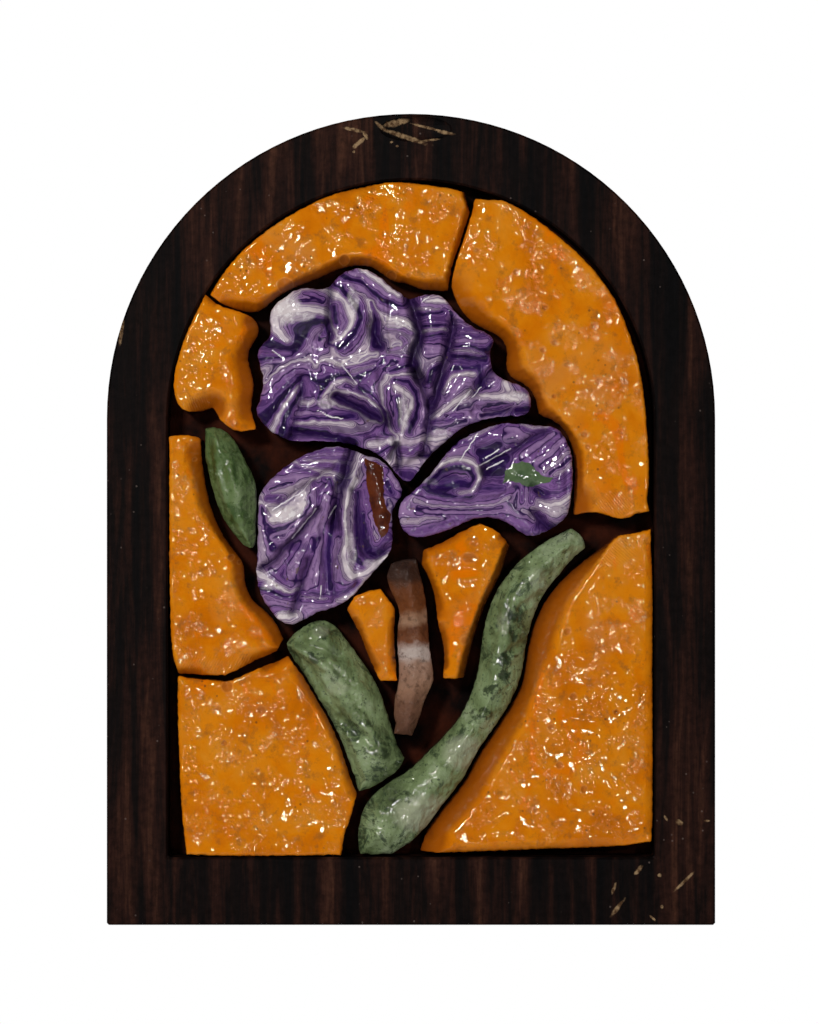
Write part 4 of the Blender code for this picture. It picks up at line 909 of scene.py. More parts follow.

# %% [markdown]
# Some hollows get painted shade, some places are whiter than their layers, which is partly white
# stone and partly painted frosted highlights, and two are filled with another stone: a brown patch
# on the lower left petal and a green one on the lower right. Spots are written as a centre, two half
# sizes in mm and a strength, and the patches as closed outlines.

# %% Deep, pale and filled places
# hollows that get painted shade
HOLLOW_SHADE = {
    "upper_petals": [
        ((-14, 135), 2.4, 4.4, 0.8), ((-20, 104), 6.4, 2.0, 0.8), ((-36, 97), 6.4, 1.4, 0.7),
        ((25, 124), 5.0, 2.0, 0.6), ((12, 116), 1.8, 5.0, 0.7), ((-51, 99), 1.0, 4.4, 0.5),
        ((29, 118), 2.4, 2.4, 0.8), ((40, 105), 5.0, 1.2, 0.6), ((2, 130), 1.6, 9.0, 1.0),
        ((8, 102), 1.6, 5.6, 0.6), ((0, 88), 4.0, 2.0, 0.6),
    ],
    "lower_left_petal": [
        ((-28, 88), 2.6, 5.0, 1.0), ((-21, 76), 1.5, 6.5, 0.9), ((-50, 71.4), 7.0, 1.2, 0.6),
        ((-34, 69), 1.3, 7.0, 0.6), ((-14, 70), 3.6, 1.6, 0.8), ((-46, 61), 1.4, 4.6, 0.5),
        ((-8, 84), 1.6, 2.6, 0.6), ((-33.6, 86), 2.4, 1.2, 0.5),
    ],
    "lower_right_petal": [
        ((14, 86.4), 5.8, 2.4, 0.9), ((34, 91.6), 4.4, 2.6, 0.9), ((54, 83.4), 2.6, 1.2, 0.7),
        ((56, 76.6), 3.4, 1.4, 0.8), ((46, 95.6), 6.0, 1.0, 0.6), ((32, 85.4), 4.0, 1.2, 0.5),
    ],
}

# whiter places: partly white stone, partly painted frosted highlights
PALE_AND_GLINTS = {
    "upper_petals": [
        ((-52, 147), 4.6, 4.6, 0.9), ((-46, 144), 4.6, 1.6, 0.7), ((-24, 149), 1.4, 4.6, 0.6),
        ((-35, 108), 3.0, 1.2, 0.5), ((42, 110.6), 5.0, 1.3, 0.7), ((-3, 105), 1.6, 5.0, 0.6),
        ((-7, 96), 1.8, 1.4, 0.6), ((12, 97.6), 3.6, 0.9, 0.6), ((-4, 141), 4.0, 1.0, 0.6),
    ],
    "lower_left_petal": [
        ((-50, 79.4), 4.2, 2.6, 0.9), ((-25, 70), 1.4, 6.0, 0.5), ((-57, 62.6), 3.4, 1.2, 0.5),
        ((-50, 56), 2.6, 1.0, 0.6), ((-14, 67.6), 3.6, 1.0, 0.5),
    ],
    "lower_right_petal": [
        ((8, 86.4), 2.6, 0.8, 0.4), ((60, 80), 3.4, 1.6, 0.4), ((27.6, 88), 0.9, 2.0, 0.5),
    ],
}

BROWN_PATCH = [
    (-19, 92), (-11, 90), (-11, 85), (-10.5, 81), (-8, 79), (-9.5, 75), (-12, 73.5), (-15, 77),
    (-17, 82), (-18.5, 88),
]
GREEN_PATCH = [
    (37.5, 86), (39, 89), (42, 90.5), (45.5, 91), (49, 90.8), (51.5, 89), (54.5, 87.5),
    (58.5, 87.5), (57, 86.5), (52.5, 86.2), (50, 85.3), (47, 85.3), (44, 86.4), (40, 86.6),
]
PATCHES = {"lower_left_petal": BROWN_PATCH, "lower_right_petal": GREEN_PATCH}

print("filled patches:", len(PATCHES))

# %% [markdown]
# Two helpers turn these lines into numbers. `layer_height` blends the heights of all band lines,
# and the nearest line counts most. `depth_inside` measures how deep a point lies inside a closed
# outline.

# %% Read the map of the layers


def layer_height(points, lines):
    """The layer height at each point, worked out on a coarse grid and read between its corners."""
    step = 0.3 * MM
    low = points.min(axis=0) - step
    count = np.ceil((points.max(axis=0) - low) / step).astype(int) + 2
    u, v = np.meshgrid(np.arange(count[0]), np.arange(count[1]), indexing="ij")
    grid = low + step * np.column_stack([u.ravel(), v.ravel()])
    total = np.zeros(len(grid))
    weights = np.zeros(len(grid))
    for level, line in lines:
        gap = run_distances(grid, places(line)).min(axis=1) / MM
        weight = 1 / (gap**2 + 0.05) ** 1.25
        total += weight * level
        weights += weight
    table = (total / weights).reshape(count)
    spot = (points - low) / step
    cell = np.floor(spot).astype(int)
    t = spot - cell
    i, j = cell.T
    near = table[i, j] * (1 - t[:, 0]) + table[i + 1, j] * t[:, 0]
    far = table[i, j + 1] * (1 - t[:, 0]) + table[i + 1, j + 1] * t[:, 0]
    return near * (1 - t[:, 1]) + far * t[:, 1]


def depth_inside(points, shares):
    """How deep a point lies inside a closed shape, in mm: below zero outside."""
    corners = places(shares)
    after = np.roll(corners, -1, axis=0)
    inside = np.zeros(len(points), bool)
    for (ax, az), (bx, bz) in zip(corners, after):
        crosses = (az > points[:, 1]) != (bz > points[:, 1])
        rise = np.where(abs(bz - az) > 1e-9, bz - az, 1e-9)
        inside ^= crosses & (points[:, 0] < ax + (points[:, 1] - az) * (bx - ax) / rise)
    gap = run_distances(points, corners, closed=True).min(axis=1) / MM
    return np.where(inside, gap, -gap)


print("depth in the brown patch:", depth_inside(np.array([place(-14, 82)]), BROWN_PATCH), "mm")

# %% [markdown]
# The petals are carved as the tiles were. A slow sideways wobble bends the folds, so that no two
# are alike, and a finer ripple does the same for the bands.

# %% Carve the petals
NICK_HIGHLIGHT_WIDTH = 0.3
FAR_OUTSIDE = -9.0

for node, folds in FOLDS.items():
    stone = start_stone(node, PETAL_HEIGHT, PETAL_GRAIN, PETAL_JAG, 1.5 * MM, 37)
    mesh, outline, points, face = stone
    wobble = sway(face, 5 * MM, 0.45 * MM, 31)
    relief = carve(face + wobble, folds) + swell(face, BULGES[node])
    relief += carve(face, [(line, *NICK) for line in NICKS[node]])
    relief += uneven(face, [(0.10, 2.4, 33), (0.03, 1.1, 34)])
    top = PETAL_HEIGHT + relief - ground_edge(face, outline, PETAL_RIM)
    press_height(mesh, points, PETAL_HEIGHT, top)
    ripple = sway(face, 2.6 * MM, 0.2 * MM, 35)
    keep_numbers(mesh, "layer", layer_height(face + ripple, LAYERS[node]))
    # the depth of the deep grooves, which sets their painted shade and a duller varnish
    grooves = [fold for fold in folds if fold[2] < STEEP]
    keep_numbers(mesh, "cut", -carve(face + wobble, grooves) / MM)
    # where the hollows get painted shade
    keep_numbers(mesh, "deep", spots(face + 2 * wobble, HOLLOW_SHADE[node]))
    # pale places: partly white stone, partly painted frosted highlights
    keep_numbers(mesh, "pale", spots(face + 2 * wobble, PALE_AND_GLINTS[node]))
    # painted highlight: a narrow white line along each nick
    nick_highlight = -carve(face, [(line, NICK_HIGHLIGHT_WIDTH, -1 / MM) for line in NICKS[node]])
    keep_numbers(mesh, "nick_highlight", np.clip(nick_highlight, 0, 1))
    inside = np.full(len(face), FAR_OUTSIDE)
    if node in PATCHES:
        inside = depth_inside(face, PATCHES[node])
    keep_numbers(mesh, "patch", inside)
    finish_stone(node, mesh, "purple_stone")
    print(node, "relief", round(np.ptp(relief) / MM, 2), "mm")

# %% [markdown]
# ## The leaves and the stem
#
# The leaves are long pebbles of green stone with rounded backs. A soft ridge runs along each, and
# a few creases and dents break the gloss. The stem is a slim bar of banded stone, cut across its
# layers, so its bands simply follow the height. The tables are written as the petals' are.

# %% Cuts and spots of the leaves and the stem
LEAF_CUTS = {
    "small_leaf": [
        ([(-80.6, 98), (-79.6, 89), (-76, 81.6), (-66, 71.6)], 1.3, 0.8),
        ([(-78, 96), (-72, 88), (-68, 78)], 3.0, 0.5),
    ],
    "short_leaf": [
        ([(-45, 49.4), (-36.8, 48), (-30, 46.2)], 1.7, -1.5),
        ([(-50, 49), (-41, 46), (-33.6, 43.2), (-27, 39.6)], 1.6, 0.9),
        ([(-42, 43.6), (-36, 38), (-30, 33), (-22, 28.6)], 1.7, -0.9),
        ([(-36, 33.6), (-26.1, 30), (-16, 26.4)], 2.2, -1.0),
        ([(-29, 38), (-20, 31.4), (-11, 25.4)], 2.4, 0.7),
        ([(-44, 44), (-34, 36), (-24, 26), (-19, 19)], 1.4, 0.5),
    ],
    "long_leaf": [
        ([(53.4, 60.4), (44.6, 57.6)], 1.5, -0.8),
        ([(46.4, 49.4), (39, 47)], 1.5, -0.8),
        ([(38, 60), (37, 52), (33, 44)], 1.2, 0.4),
    ],
    "stem": [([(-2, 66), (1, 56), (1.6, 48), (1, 38), (-2, 30)], 2.4, 0.5)],
}
LEAF_SPOTS = {
    "short_leaf": [((-38.4, 52), 1.5, 1.4, -1.0), ((-37.6, 52), 3.2, 2.6, 1.0)],
    "long_leaf": [((35, 36), 4.0, 3.0, -0.4), ((5, 12), 4.0, 3.0, 0.4), ((24, 31), 3.0, 3.0, 0.3)],
    "small_leaf": [((-74, 90), 2.0, 3.0, 0.3)],
    "stem": [((4, 51), 2.0, 3.0, 0.5), ((-1, 60), 2.6, 4.0, 0.4), ((4, 44), 1.6, 2.0, -0.5)],
}
LEAF_DARK = {
    "long_leaf": [
        ((34, 38), 3.4, 2.6, 0.9), ((38, 44), 2.4, 5.0, 0.85), ((42, 54), 1.8, 6.0, 0.8),
        ((29, 33), 3.6, 2.2, 0.75), ((56, 66), 3.0, 3.0, 0.4), ((-4, 14), 4.4, 2.4, 0.6),
        ((-17, 5), 2.4, 2.6, 0.6),
    ],
    "short_leaf": [
        ((-22, 30), 5.0, 3.0, 0.7), ((-40, 46), 4.0, 2.0, 0.6), ((-14, 24), 4.4, 2.4, 0.6),
        ((-32, 42), 2.4, 2.4, 0.5),
    ],
    "small_leaf": [((-82, 90), 1.8, 7.0, 0.8), ((-78, 78), 1.8, 5.0, 0.6)],
}
LEAF_PALE = {
    "long_leaf": [
        ((6, 10), 9.0, 5.4, 1.0), ((22, 24), 6.0, 5.0, 0.9), ((52, 64), 2.4, 3.4, 0.5),
        ((38, 54), 2.0, 3.0, 0.4),
    ],
    "short_leaf": [((-30, 39), 3.0, 2.0, 0.5), ((-37, 52), 2.4, 1.6, 0.5)],
}
print("dark spots on the leaves:", sum(len(dark) for dark in LEAF_DARK.values()))

# %% [markdown]
# A leaf's rim is several times wider than a tile's, which is what rounds its back. The stem's rim
# is narrower, so it keeps a flatter face.

# %% Carve the leaves and the stem
LEAF_HEIGHT = 13.8 * MM
STEM_HEIGHT = 13.0 * MM
LEAF_GRAIN = 0.32 * MM
LEAF_RIM = (5.2 * MM, 4.2 * MM)
STEM_RIM = (2.6 * MM, 1.8 * MM)
LEAF_JAG = 0.14 * MM

for node, cuts in LEAF_CUTS.items():
    is_stem = node == "stem"
    height, rim = (STEM_HEIGHT, STEM_RIM) if is_stem else (LEAF_HEIGHT, LEAF_RIM)
    stone = start_stone(node, height, LEAF_GRAIN, LEAF_JAG, 1.6 * MM, 44)
    mesh, outline, points, face = stone
    relief = carve(face, cuts) + swell(face, LEAF_SPOTS[node])
    relief += uneven(face, [(0.34, 5, 41), (0.26, 2.6, 42), (0.18, 1.4, 43)])
    press_height(mesh, points, height, height + relief - ground_edge(face, outline, rim, power=1.5))
    keep_numbers(mesh, "dark", spots(face, LEAF_DARK.get(node, ())))
    keep_numbers(mesh, "pale", spots(face, LEAF_PALE.get(node, ())))
    finish_stone(node, mesh, "banded_stone" if is_stem else "green_stone")

# %% [markdown]
# ## Finishes
#
# Every finish is a small tree of nodes that reads Object coordinates, so it sticks to its stone.
# Colours are written as they read on a screen and turned into linear light by `tone`. `add` makes
# one node with its links, and the helpers after it each make one kind of node.

# %% Helpers for materials


def tone(red, green, blue):
    """A screen colour from 0 to 255 as linear light."""
    linear = []
    for value in (red, green, blue):
        share = value / 255
        linear.append(share / 12.92 if share <= 0.04045 else ((share + 0.055) / 1.055) ** 2.4)
    return (*linear, 1)


def add(tree, kind, links=None, **settings):
    """Add a node. A link is either another node's socket or a plain value."""
    node = tree.nodes.new("ShaderNode" + kind)
    for name, value in settings.items():
        setattr(node, name, value)
    for socket, source in (links or {}).items():
        if isinstance(source, bpy.types.NodeSocket):
            tree.links.new(source, node.inputs[socket])
        else:
            node.inputs[socket].default_value = source
    return node


def math_node(tree, operation, first, second=0.0):
    """One sum on numbers."""
    return add(tree, "Math", {0: first, 1: second}, operation=operation).outputs[0]


def times(tree, first, second):
    """One number times another."""
    return math_node(tree, "MULTIPLY", first, second)


def plus(tree, first, second):
    """One number added to another."""
    return math_node(tree, "ADD", first, second)


def between(tree, value, low, high):
    """Stretch a range of numbers to 0 and 1, with soft ends."""
    links = {0: value, 1: low, 2: high, 3: 0.0, 4: 1.0}
    return add(tree, "MapRange", links, interpolation_type="SMOOTHSTEP").outputs[0]


def ramp(tree, factor, stops):
    """A colour ramp from a list of places and screen colours."""
    node = add(tree, "ValToRGB", {0: factor})
    band = node.color_ramp
    while len(band.elements) < len(stops):
        band.elements.new(0.5)
    for element, (position, *colour) in zip(band.elements, sorted(stops)):
        element.position = position
        element.color = tone(*colour)
    return node.outputs[0]


def mix(tree, factor, first, second, blend="MIX"):
    """Blend two colours."""
    node = add(tree, "Mix", {0: factor, 6: first, 7: second}, data_type="RGBA", blend_type=blend)
    return node.outputs[2]


print("mid grey of the screen in linear light:", tone(128, 128, 128))

# %% [markdown]
# A second group of helpers is about stone. `noise` and `shifted` make its patterns, `stored` reads
# what was kept while carving, and `wash` lays a colour over another as a thin glaze. `sunk` finds
# the walls of a stone, which lie in shadow, so that painted shade can go there. `bump` and `gloss`
# set how its surface shines.

# %% Helpers for stone


def noise(tree, vector, scale, detail=2.0, rough=0.5, bend=0.0):
    """Soft noise between 0 and 1."""
    links = {"Vector": vector, "Scale": scale, "Detail": detail, "Roughness": rough, "Distortion": bend}
    return add(tree, "TexNoise", links).outputs[0]


def shifted(tree, vector, move, size=(1, 1, 1), turn=(0, 0, 0)):
    """The same coordinates moved, turned or stretched, so that two noises don't match."""
    links = {"Vector": vector, "Location": move, "Rotation": turn, "Scale": size}
    return add(tree, "Mapping", links).outputs[0]


def stored(tree, name):
    """A number that was stored on the corners of the mesh."""
    return add(tree, "Attribute", attribute_name=name).outputs["Fac"]


def wash(tree, colour, amount, share, tint):
    """Lay a screen colour over another, as strongly as the amount times the share."""
    return mix(tree, times(tree, amount, share), colour, tone(*tint))


def sunk(tree, coords, face, deep):
    """0 at one height above the back of the stones and 1 at a lower one, where shade is painted."""
    depth = add(tree, "SeparateXYZ", {0: coords}).outputs[1]
    return between(tree, depth, STONE_BACK - face, STONE_BACK - deep)


def bump(tree, height, strength, distance, under=None):
    """Tilt the surface by a height, on top of another bump where there is one."""
    links = {"Height": height, "Strength": strength, "Distance": distance}
    if under is not None:
        links["Normal"] = under
    return add(tree, "Bump", links).outputs[0]


def gloss(shader, roughness, specular, coat=0.0, coat_roughness=0.03):
    """Plain values of the shader's polish."""
    polish = {
        "Roughness": roughness, "IOR": 1.5, "Specular IOR Level": specular,
        "Coat Weight": coat, "Coat Roughness": coat_roughness,
    }
    for name, value in polish.items():
        shader.inputs[name].default_value = value


def start_material(name):
    """A new material, its tree, its shader and its Object coordinates."""
    material = bpy.data.materials.new(name)
    material.use_nodes = True
    tree = material.node_tree
    shader = tree.nodes["Principled BSDF"]
    coords = add(tree, "TexCoord").outputs["Object"]
    return material, tree, shader, coords


def link_up(tree, shader, colour, normal, coated=False):
    """Link the colour and the bumps to the shader, and the bumps to its coat if it has one."""
    tree.links.new(colour, shader.inputs["Base Color"])
    tree.links.new(normal, shader.inputs["Normal"])
    if coated:
        tree.links.new(normal, shader.inputs["Coat Normal"])


def dress(slot, material):
    """Give the carved stones of a slot their finish."""
    for stone in carved[slot]:
        stone.data.materials.append(material)
    print(material.name, "on", len(carved[slot]), "stones")


print("slots to dress:", list(carved))

# %% [markdown]
# The orange stone is cloudy: peach veils, a few hot orange streaks and tiny dark grains float
# under the varnish. The peach veils also stand in for a soft painted sheen. The ground slopes are
# painted a deeper amber as painted shade, and so are the low walls and the dimples, whose rims get
# a pale painted highlight.
# The varnish is the shader's own polish, a little greener than white so that it doesn't turn pink
# over the orange. Two bump textures break it into sparks, most where the tile is uneven.

# %% Orange stone


def orange_stone():
    """Clouded orange stone under thick varnish."""
    material, tree, shader, coords = start_material("varnished_orange_stone")
    cloud = noise(tree, coords, 85, 5, 0.6, 0.5)
    colour = ramp(tree, cloud, [
        (0.25, 186, 98, 4), (0.42, 209, 114, 4), (0.55, 217, 127, 11), (0.72, 217, 135, 30),
    ])
    # peach veils of the stone, which also stand in for a soft painted sheen
    veil_and_sheen = noise(tree, shifted(tree, coords, (0.3, 0, 0.1)), 42, 4, 0.6, 0.8)
    colour = wash(tree, colour, between(tree, veil_and_sheen, 0.55, 0.78), 0.7, (204, 132, 58))
    slanted = shifted(tree, coords, (0.1, 0.4, 0), (1.0, 1.0, 0.55), (0, 0.6, 0))
    streak = between(tree, noise(tree, slanted, 75, 4, 0.6, 1.4), 0.57, 0.68)
    colour = wash(tree, colour, streak, 0.85, (226, 116, 2))
    dust = noise(tree, shifted(tree, coords, (0, 0.2, 0.3)), 340, 5, 0.7)
    colour = wash(tree, colour, between(tree, dust, 0.5, 0.72), 0.6, (136, 84, 36))
    grain = add(tree, "TexVoronoi", {"Vector": coords, "Scale": 430.0}).outputs["Distance"]
    rare = between(tree, noise(tree, coords, 260, 1), 0.54, 0.62)
    speck = times(tree, between(tree, grain, 0.17, 0.08), rare)
    colour = wash(tree, colour, speck, 0.7, (92, 56, 26))
    # painted shade: the ground slopes turn a deeper amber
    slope_shade = between(tree, stored(tree, "slope"), 0.03, 0.42)
    colour = wash(tree, colour, slope_shade, 0.85, (150, 74, 8))
    # painted highlight: a pale ring at each dimple's rim; painted shade: deeper amber inside, near black in
    # deep holes
    pit = stored(tree, "pit")
    colour = wash(tree, colour, between(tree, pit, 0.01, 0.05), 0.25, (214, 144, 74))
    colour = wash(tree, colour, between(tree, pit, 0.08, 0.24), 0.5, (148, 68, 6))
    colour = wash(tree, colour, between(tree, pit, 0.84, 0.95), 0.8, (40, 24, 16))
    # painted shade: the low walls and the foot of the slopes darken to brown
    walls = sunk(tree, coords, TILE_HEIGHT - 1.6 * MM, 5 * MM)
    colour = wash(tree, colour, walls, 0.95, (84, 34, 8))
    gloss(shader, 0.05, 0.4)
    shader.inputs["Specular Tint"].default_value = (0.7, 1.0, 0.7, 1)
    rough = times(tree, stored(tree, "lively"), math_node(tree, "SUBTRACT", 1.0, slope_shade))
    rough = plus(tree, times(tree, rough, 0.75), 0.06)
    normal = bump(tree, noise(tree, coords, 520, 1), rough, 0.42 * MM)
    normal = bump(tree, noise(tree, coords, 1250, 1), rough, 0.16 * MM, normal)
    wave = math_node(tree, "SINE", times(tree, stored(tree, "saw_run"), 10.5))
    normal = bump(tree, times(tree, wave, stored(tree, "saw")), 0.6, 0.04 * MM, normal)
    link_up(tree, shader, colour, normal)
    return material


dress("orange_stone", orange_stone())

# %% [markdown]
# The purple stone reads the numbers that were stored while carving. The layer number is folded
# and read through a ramp, whose hairline stops draw thin dark seams between the bands. Stored pale
# places push the bands to white, which is partly white stone and partly painted frosted highlights.
# The hollows, the deep grooves and the low walls get painted shade, the nicks a painted white
# highlight, and the varnish is dull inside deep grooves.

# %% Purple stone


def banded_petals():
    """Banded purple and white stone with its two filled patches."""
    material, tree, shader, coords = start_material("banded_purple_stone")
    wander = plus(tree, noise(tree, coords, 500, 3, 0.55), -0.5)
    layer = plus(tree, stored(tree, "layer"), times(tree, wander, 0.38))
    folded = math_node(tree, "PINGPONG", layer, FOLD_STEPS)
    colour = ramp(tree, math_node(tree, "DIVIDE", folded, FOLD_STEPS), [
        (0.00, 38, 20, 64), (0.11, 52, 30, 84), (0.16, 106, 74, 132), (0.38, 132, 94, 153),
        (0.43, 134, 96, 153), (0.45, 48, 26, 78), (0.48, 48, 26, 78), (0.50, 147, 113, 163),
        (0.66, 158, 129, 170), (0.68, 64, 40, 92), (0.70, 64, 40, 92), (0.72, 170, 150, 174),
        (0.88, 192, 178, 188), (0.96, 224, 216, 217),
    ])
    links = {"W": layer, "Scale": 3.0, "Detail": 3.0, "Roughness": 0.6}
    hairs = add(tree, "TexNoise", links, noise_dimensions="1D").outputs[0]
    shade = ramp(tree, hairs, [(0.40, 154, 136, 176), (0.54, 254, 252, 254)])
    colour = mix(tree, 0.85, colour, shade, "MULTIPLY")
    cloud = noise(tree, coords, 240, 4, 0.6, 0.4)
    shade = ramp(tree, cloud, [(0.35, 206, 196, 214), (0.6, 252, 250, 252)])
    colour = mix(tree, 0.7, colour, shade, "MULTIPLY")
    # pale places are partly white stone and partly painted frosted highlights; a noise adds white specks
    # over them as painted glints
    pale = stored(tree, "pale")
    frost_glints = between(tree, noise(tree, coords, 900, 3, 0.7), 0.5, 0.6)
    colour = wash(tree, colour, times(tree, pale, cloud), 1.3, (212, 202, 204))
    colour = wash(tree, colour, times(tree, frost_glints, pale), 0.6, (248, 245, 246))
    # painted shade: deep purple in the hollows
    colour = wash(tree, colour, stored(tree, "deep"), 0.65, (50, 22, 90))
    # painted shade: the deep grooves darken to near-black purple
    cut = between(tree, stored(tree, "cut"), 0.4, 2.6)
    colour = wash(tree, colour, cut, 0.8, (36, 17, 62))
    # painted highlight: the nicks turn white
    nick_highlight = between(tree, plus(tree, stored(tree, "nick_highlight"), wander), 0.3, 0.6)
    colour = wash(tree, colour, nick_highlight, 0.9, (245, 240, 245))
    rust = noise(tree, shifted(tree, coords, (0.2, 0, 0.7)), 520, 2)
    colour = wash(tree, colour, between(tree, rust, 0.70, 0.76), 0.7, (96, 76, 58))
    across = add(tree, "SeparateXYZ", {0: coords}).outputs[0]
    marble = noise(tree, coords, 300, 4, 0.6)
    brown = ramp(tree, marble, [(0.35, 58, 24, 18), (0.6, 92, 42, 20)])
    green = ramp(tree, marble, [(0.35, 58, 80, 52), (0.65, 88, 108, 76)])
    filling = mix(tree, math_node(tree, "LESS_THAN", across, 0.0), green, brown)
    torn = times(tree, plus(tree, marble, -0.5), 1.4)
    patch = between(tree, plus(tree, stored(tree, "patch"), torn), -0.05, 0.1)
    colour = mix(tree, patch, colour, filling)
    # painted shade: the low walls of the petals darken
    walls = sunk(tree, coords, 10.5 * MM, 5 * MM)
    colour = wash(tree, colour, walls, 0.85, (34, 22, 44))
    gloss(shader, 0.35, 0.04, 1.0, 0.05)
    dull = times(tree, cut, -0.8)
    tree.links.new(plus(tree, dull, 0.9), shader.inputs["Coat Weight"])
    normal = bump(tree, noise(tree, coords, 600, 1), 0.6, 0.25 * MM)
    link_up(tree, shader, colour, normal, coated=True)
    return material


dress("purple_stone", banded_petals())

# %% [markdown]
# The leaves are polished green stone. Broad clouds, moss-like patches and fine flecks come from
# three noises of different size, and stored spots make a place paler or darker. A stretched and
# turned noise in the bump gives the marks of a brush, which catch the light as short strokes.

# %% Green stone


def mottled_leaves():
    """Mottled green stone with dark flecks and pale clouds."""
    material, tree, shader, coords = start_material("mottled_green_stone")
    cloud = noise(tree, coords, 110, 5, 0.6, 0.6)
    colour = ramp(tree, cloud, [
        (0.3, 80, 94, 60), (0.45, 106, 123, 82), (0.58, 128, 146, 104), (0.72, 154, 167, 135),
    ])
    moss = noise(tree, shifted(tree, coords, (0.2, 0.1, 0)), 150, 6, 0.75, 0.8)
    colour = wash(tree, colour, between(tree, moss, 0.51, 0.62), 0.85, (36, 52, 34))
    fleck = noise(tree, coords, 1100, 3, 0.65)
    colour = wash(tree, colour, between(tree, fleck, 0.58, 0.68), 0.75, (34, 46, 32))
    colour = wash(tree, colour, stored(tree, "pale"), 0.75, (164, 170, 142))
    blotch = plus(tree, between(tree, noise(tree, coords, 420, 4, 0.7), 0.4, 0.6), 0.35)
    dark = between(tree, times(tree, stored(tree, "dark"), blotch), 0.25, 0.9)
    colour = wash(tree, colour, dark, 0.85, (32, 44, 26))
    across = add(tree, "SeparateXYZ", {0: coords}).outputs[0]
    far_left = between(tree, across, -32 * MM, -42 * MM)
    colour = wash(tree, colour, far_left, 0.55, (66, 92, 40))
    # painted shade: the low walls of the leaves darken
    walls = sunk(tree, coords, 11.2 * MM, 6 * MM)
    colour = wash(tree, colour, walls, 0.85, (26, 38, 24))
    gloss(shader, 0.4, 0.1, 1.0, 0.045)
    brushed = noise(tree, shifted(tree, coords, (0, 0, 0), (1, 1, 0.2), (0, 0.8, 0)), 900, 2)
    skin = plus(tree, noise(tree, coords, 650, 2), times(tree, brushed, 0.6))
    link_up(tree, shader, colour, bump(tree, skin, 1.0, 0.42 * MM), coated=True)
    return material


dress("green_stone", mottled_leaves())

# %% [markdown]
# The stem was cut across its layers. A ramp over the height gives the bands in their real order,
# and a little noise bends them.

# %% Banded stem stone


def banded_stem():
    """Brown and white stone in level bands."""
    material, tree, shader, coords = start_material("banded_stem_stone")
    height = add(tree, "SeparateXYZ", {0: coords}).outputs[2]
    bend = times(tree, plus(tree, noise(tree, coords, 160, 4, 0.6), -0.5), 6 * MM)
    links = {0: plus(tree, height, bend), 1: place(0, 28)[1], 2: place(0, 69)[1], 3: 0.0, 4: 1.0}
    share = add(tree, "MapRange", links).outputs[0]
    colour = ramp(tree, share, [
        (0.0, 92, 62, 48), (0.16, 112, 78, 60), (0.26, 144, 108, 86), (0.40, 152, 120, 102),
        (0.44, 182, 166, 158), (0.49, 180, 164, 156), (0.53, 112, 68, 44), (0.60, 96, 54, 30),
        (0.64, 150, 116, 92), (0.69, 144, 108, 84), (0.73, 110, 62, 32), (0.83, 98, 56, 32),
        (0.88, 60, 40, 32), (1.0, 48, 34, 29),
    ])
    dirt = between(tree, noise(tree, coords, 520, 5, 0.7), 0.5, 0.66)
    colour = wash(tree, colour, dirt, 0.6, (70, 44, 32))
    gloss(shader, 0.45, 0.08, 0.2, 0.1)
    skin = noise(tree, coords, 450, 5, 0.7)
    link_up(tree, shader, colour, bump(tree, skin, 1.0, 0.7 * MM), coated=True)
    return material


dress("banded_stone", banded_stem())

# %% [markdown]
# The frame is sawn from one board. Its stain is almost black, with reddish-brown streaks that
# follow the upright grain, and pale dust sits in the pores. Where the stain has come off, the bare
# wood shows in slivers. Each sliver is a turned oval that a noise tears at the rim, and two tiny
# ovals of the same colour are painted glints on a drop of varnish. The backing board is the dark
# floor that shows between the stones.

# %% Wood
OUT_OF_REACH = 9.0

# where the stain has come off, and two painted glints: centre and half sizes in mm, and the turn in degrees
BARE_WOOD_AND_GLINTS = [
    ((-4.0, 97.7), (3.5, 0.9), 14), ((4.6, 96.5), (5.0, 0.35), -14), ((-1.6, 94.4), (6.4, 0.7), -19),
    ((4.8, 93.5), (2.6, 0.35), 6), ((8.4, 95.4), (2.2, 0.5), -12), ((-7.7, 97), (1.6, 0.5), -40),
    ((-13.9, 96), (2.9, 0.5), -12), ((-12.8, 92.9), (2.2, 0.55), 42), ((-11.2, 94.6), (1.3, 0.5), -60),
    # the small ovals at (-4.8, 93) and (-3.4, 92) are painted glints on a drop of varnish
    ((-14.1, 90.6), (0.4, 0.4), 0), ((-4.8, 93), (0.45, 0.3), 20), ((-3.4, 92), (0.4, 0.3), 0),
    ((66.2, -74.7), (1.0, 0.7), -30), ((72.9, -74.3), (0.8, 0.3), 0), ((56.1, -86.4), (1.5, 0.6), 50),
    ((67.5, -89.1), (3.6, 0.4), 44), ((50, -91), (1.5, 0.4), 70), ((50.9, -95.8), (2.8, 0.55), 52),
    ((61.3, -87.7), (0.5, 0.5), 0), ((59.6, -98.3), (1.0, 0.3), -40), ((61.8, -95.5), (0.4, 0.5), 0),
    ((62.8, -73.6), (0.9, 0.3), -60), ((-71.4, 46), (0.5, 3.4), -8),
]


def oval(tree, coords, centre, half, turn):
    """How far a point is from a centre on the face, where 1 is on the rim of a turned oval."""
    links = {
        "Vector": coords, "Location": (centre[0] * MM, 0, centre[1] * MM),
        "Rotation": (0, -math.radians(turn), 0), "Scale": (half[0] * MM, 1, half[1] * MM),
    }
    local = add(tree, "Mapping", links, vector_type="TEXTURE").outputs[0]
    return add(tree, "VectorMath", {0: local}, operation="LENGTH").outputs["Value"]


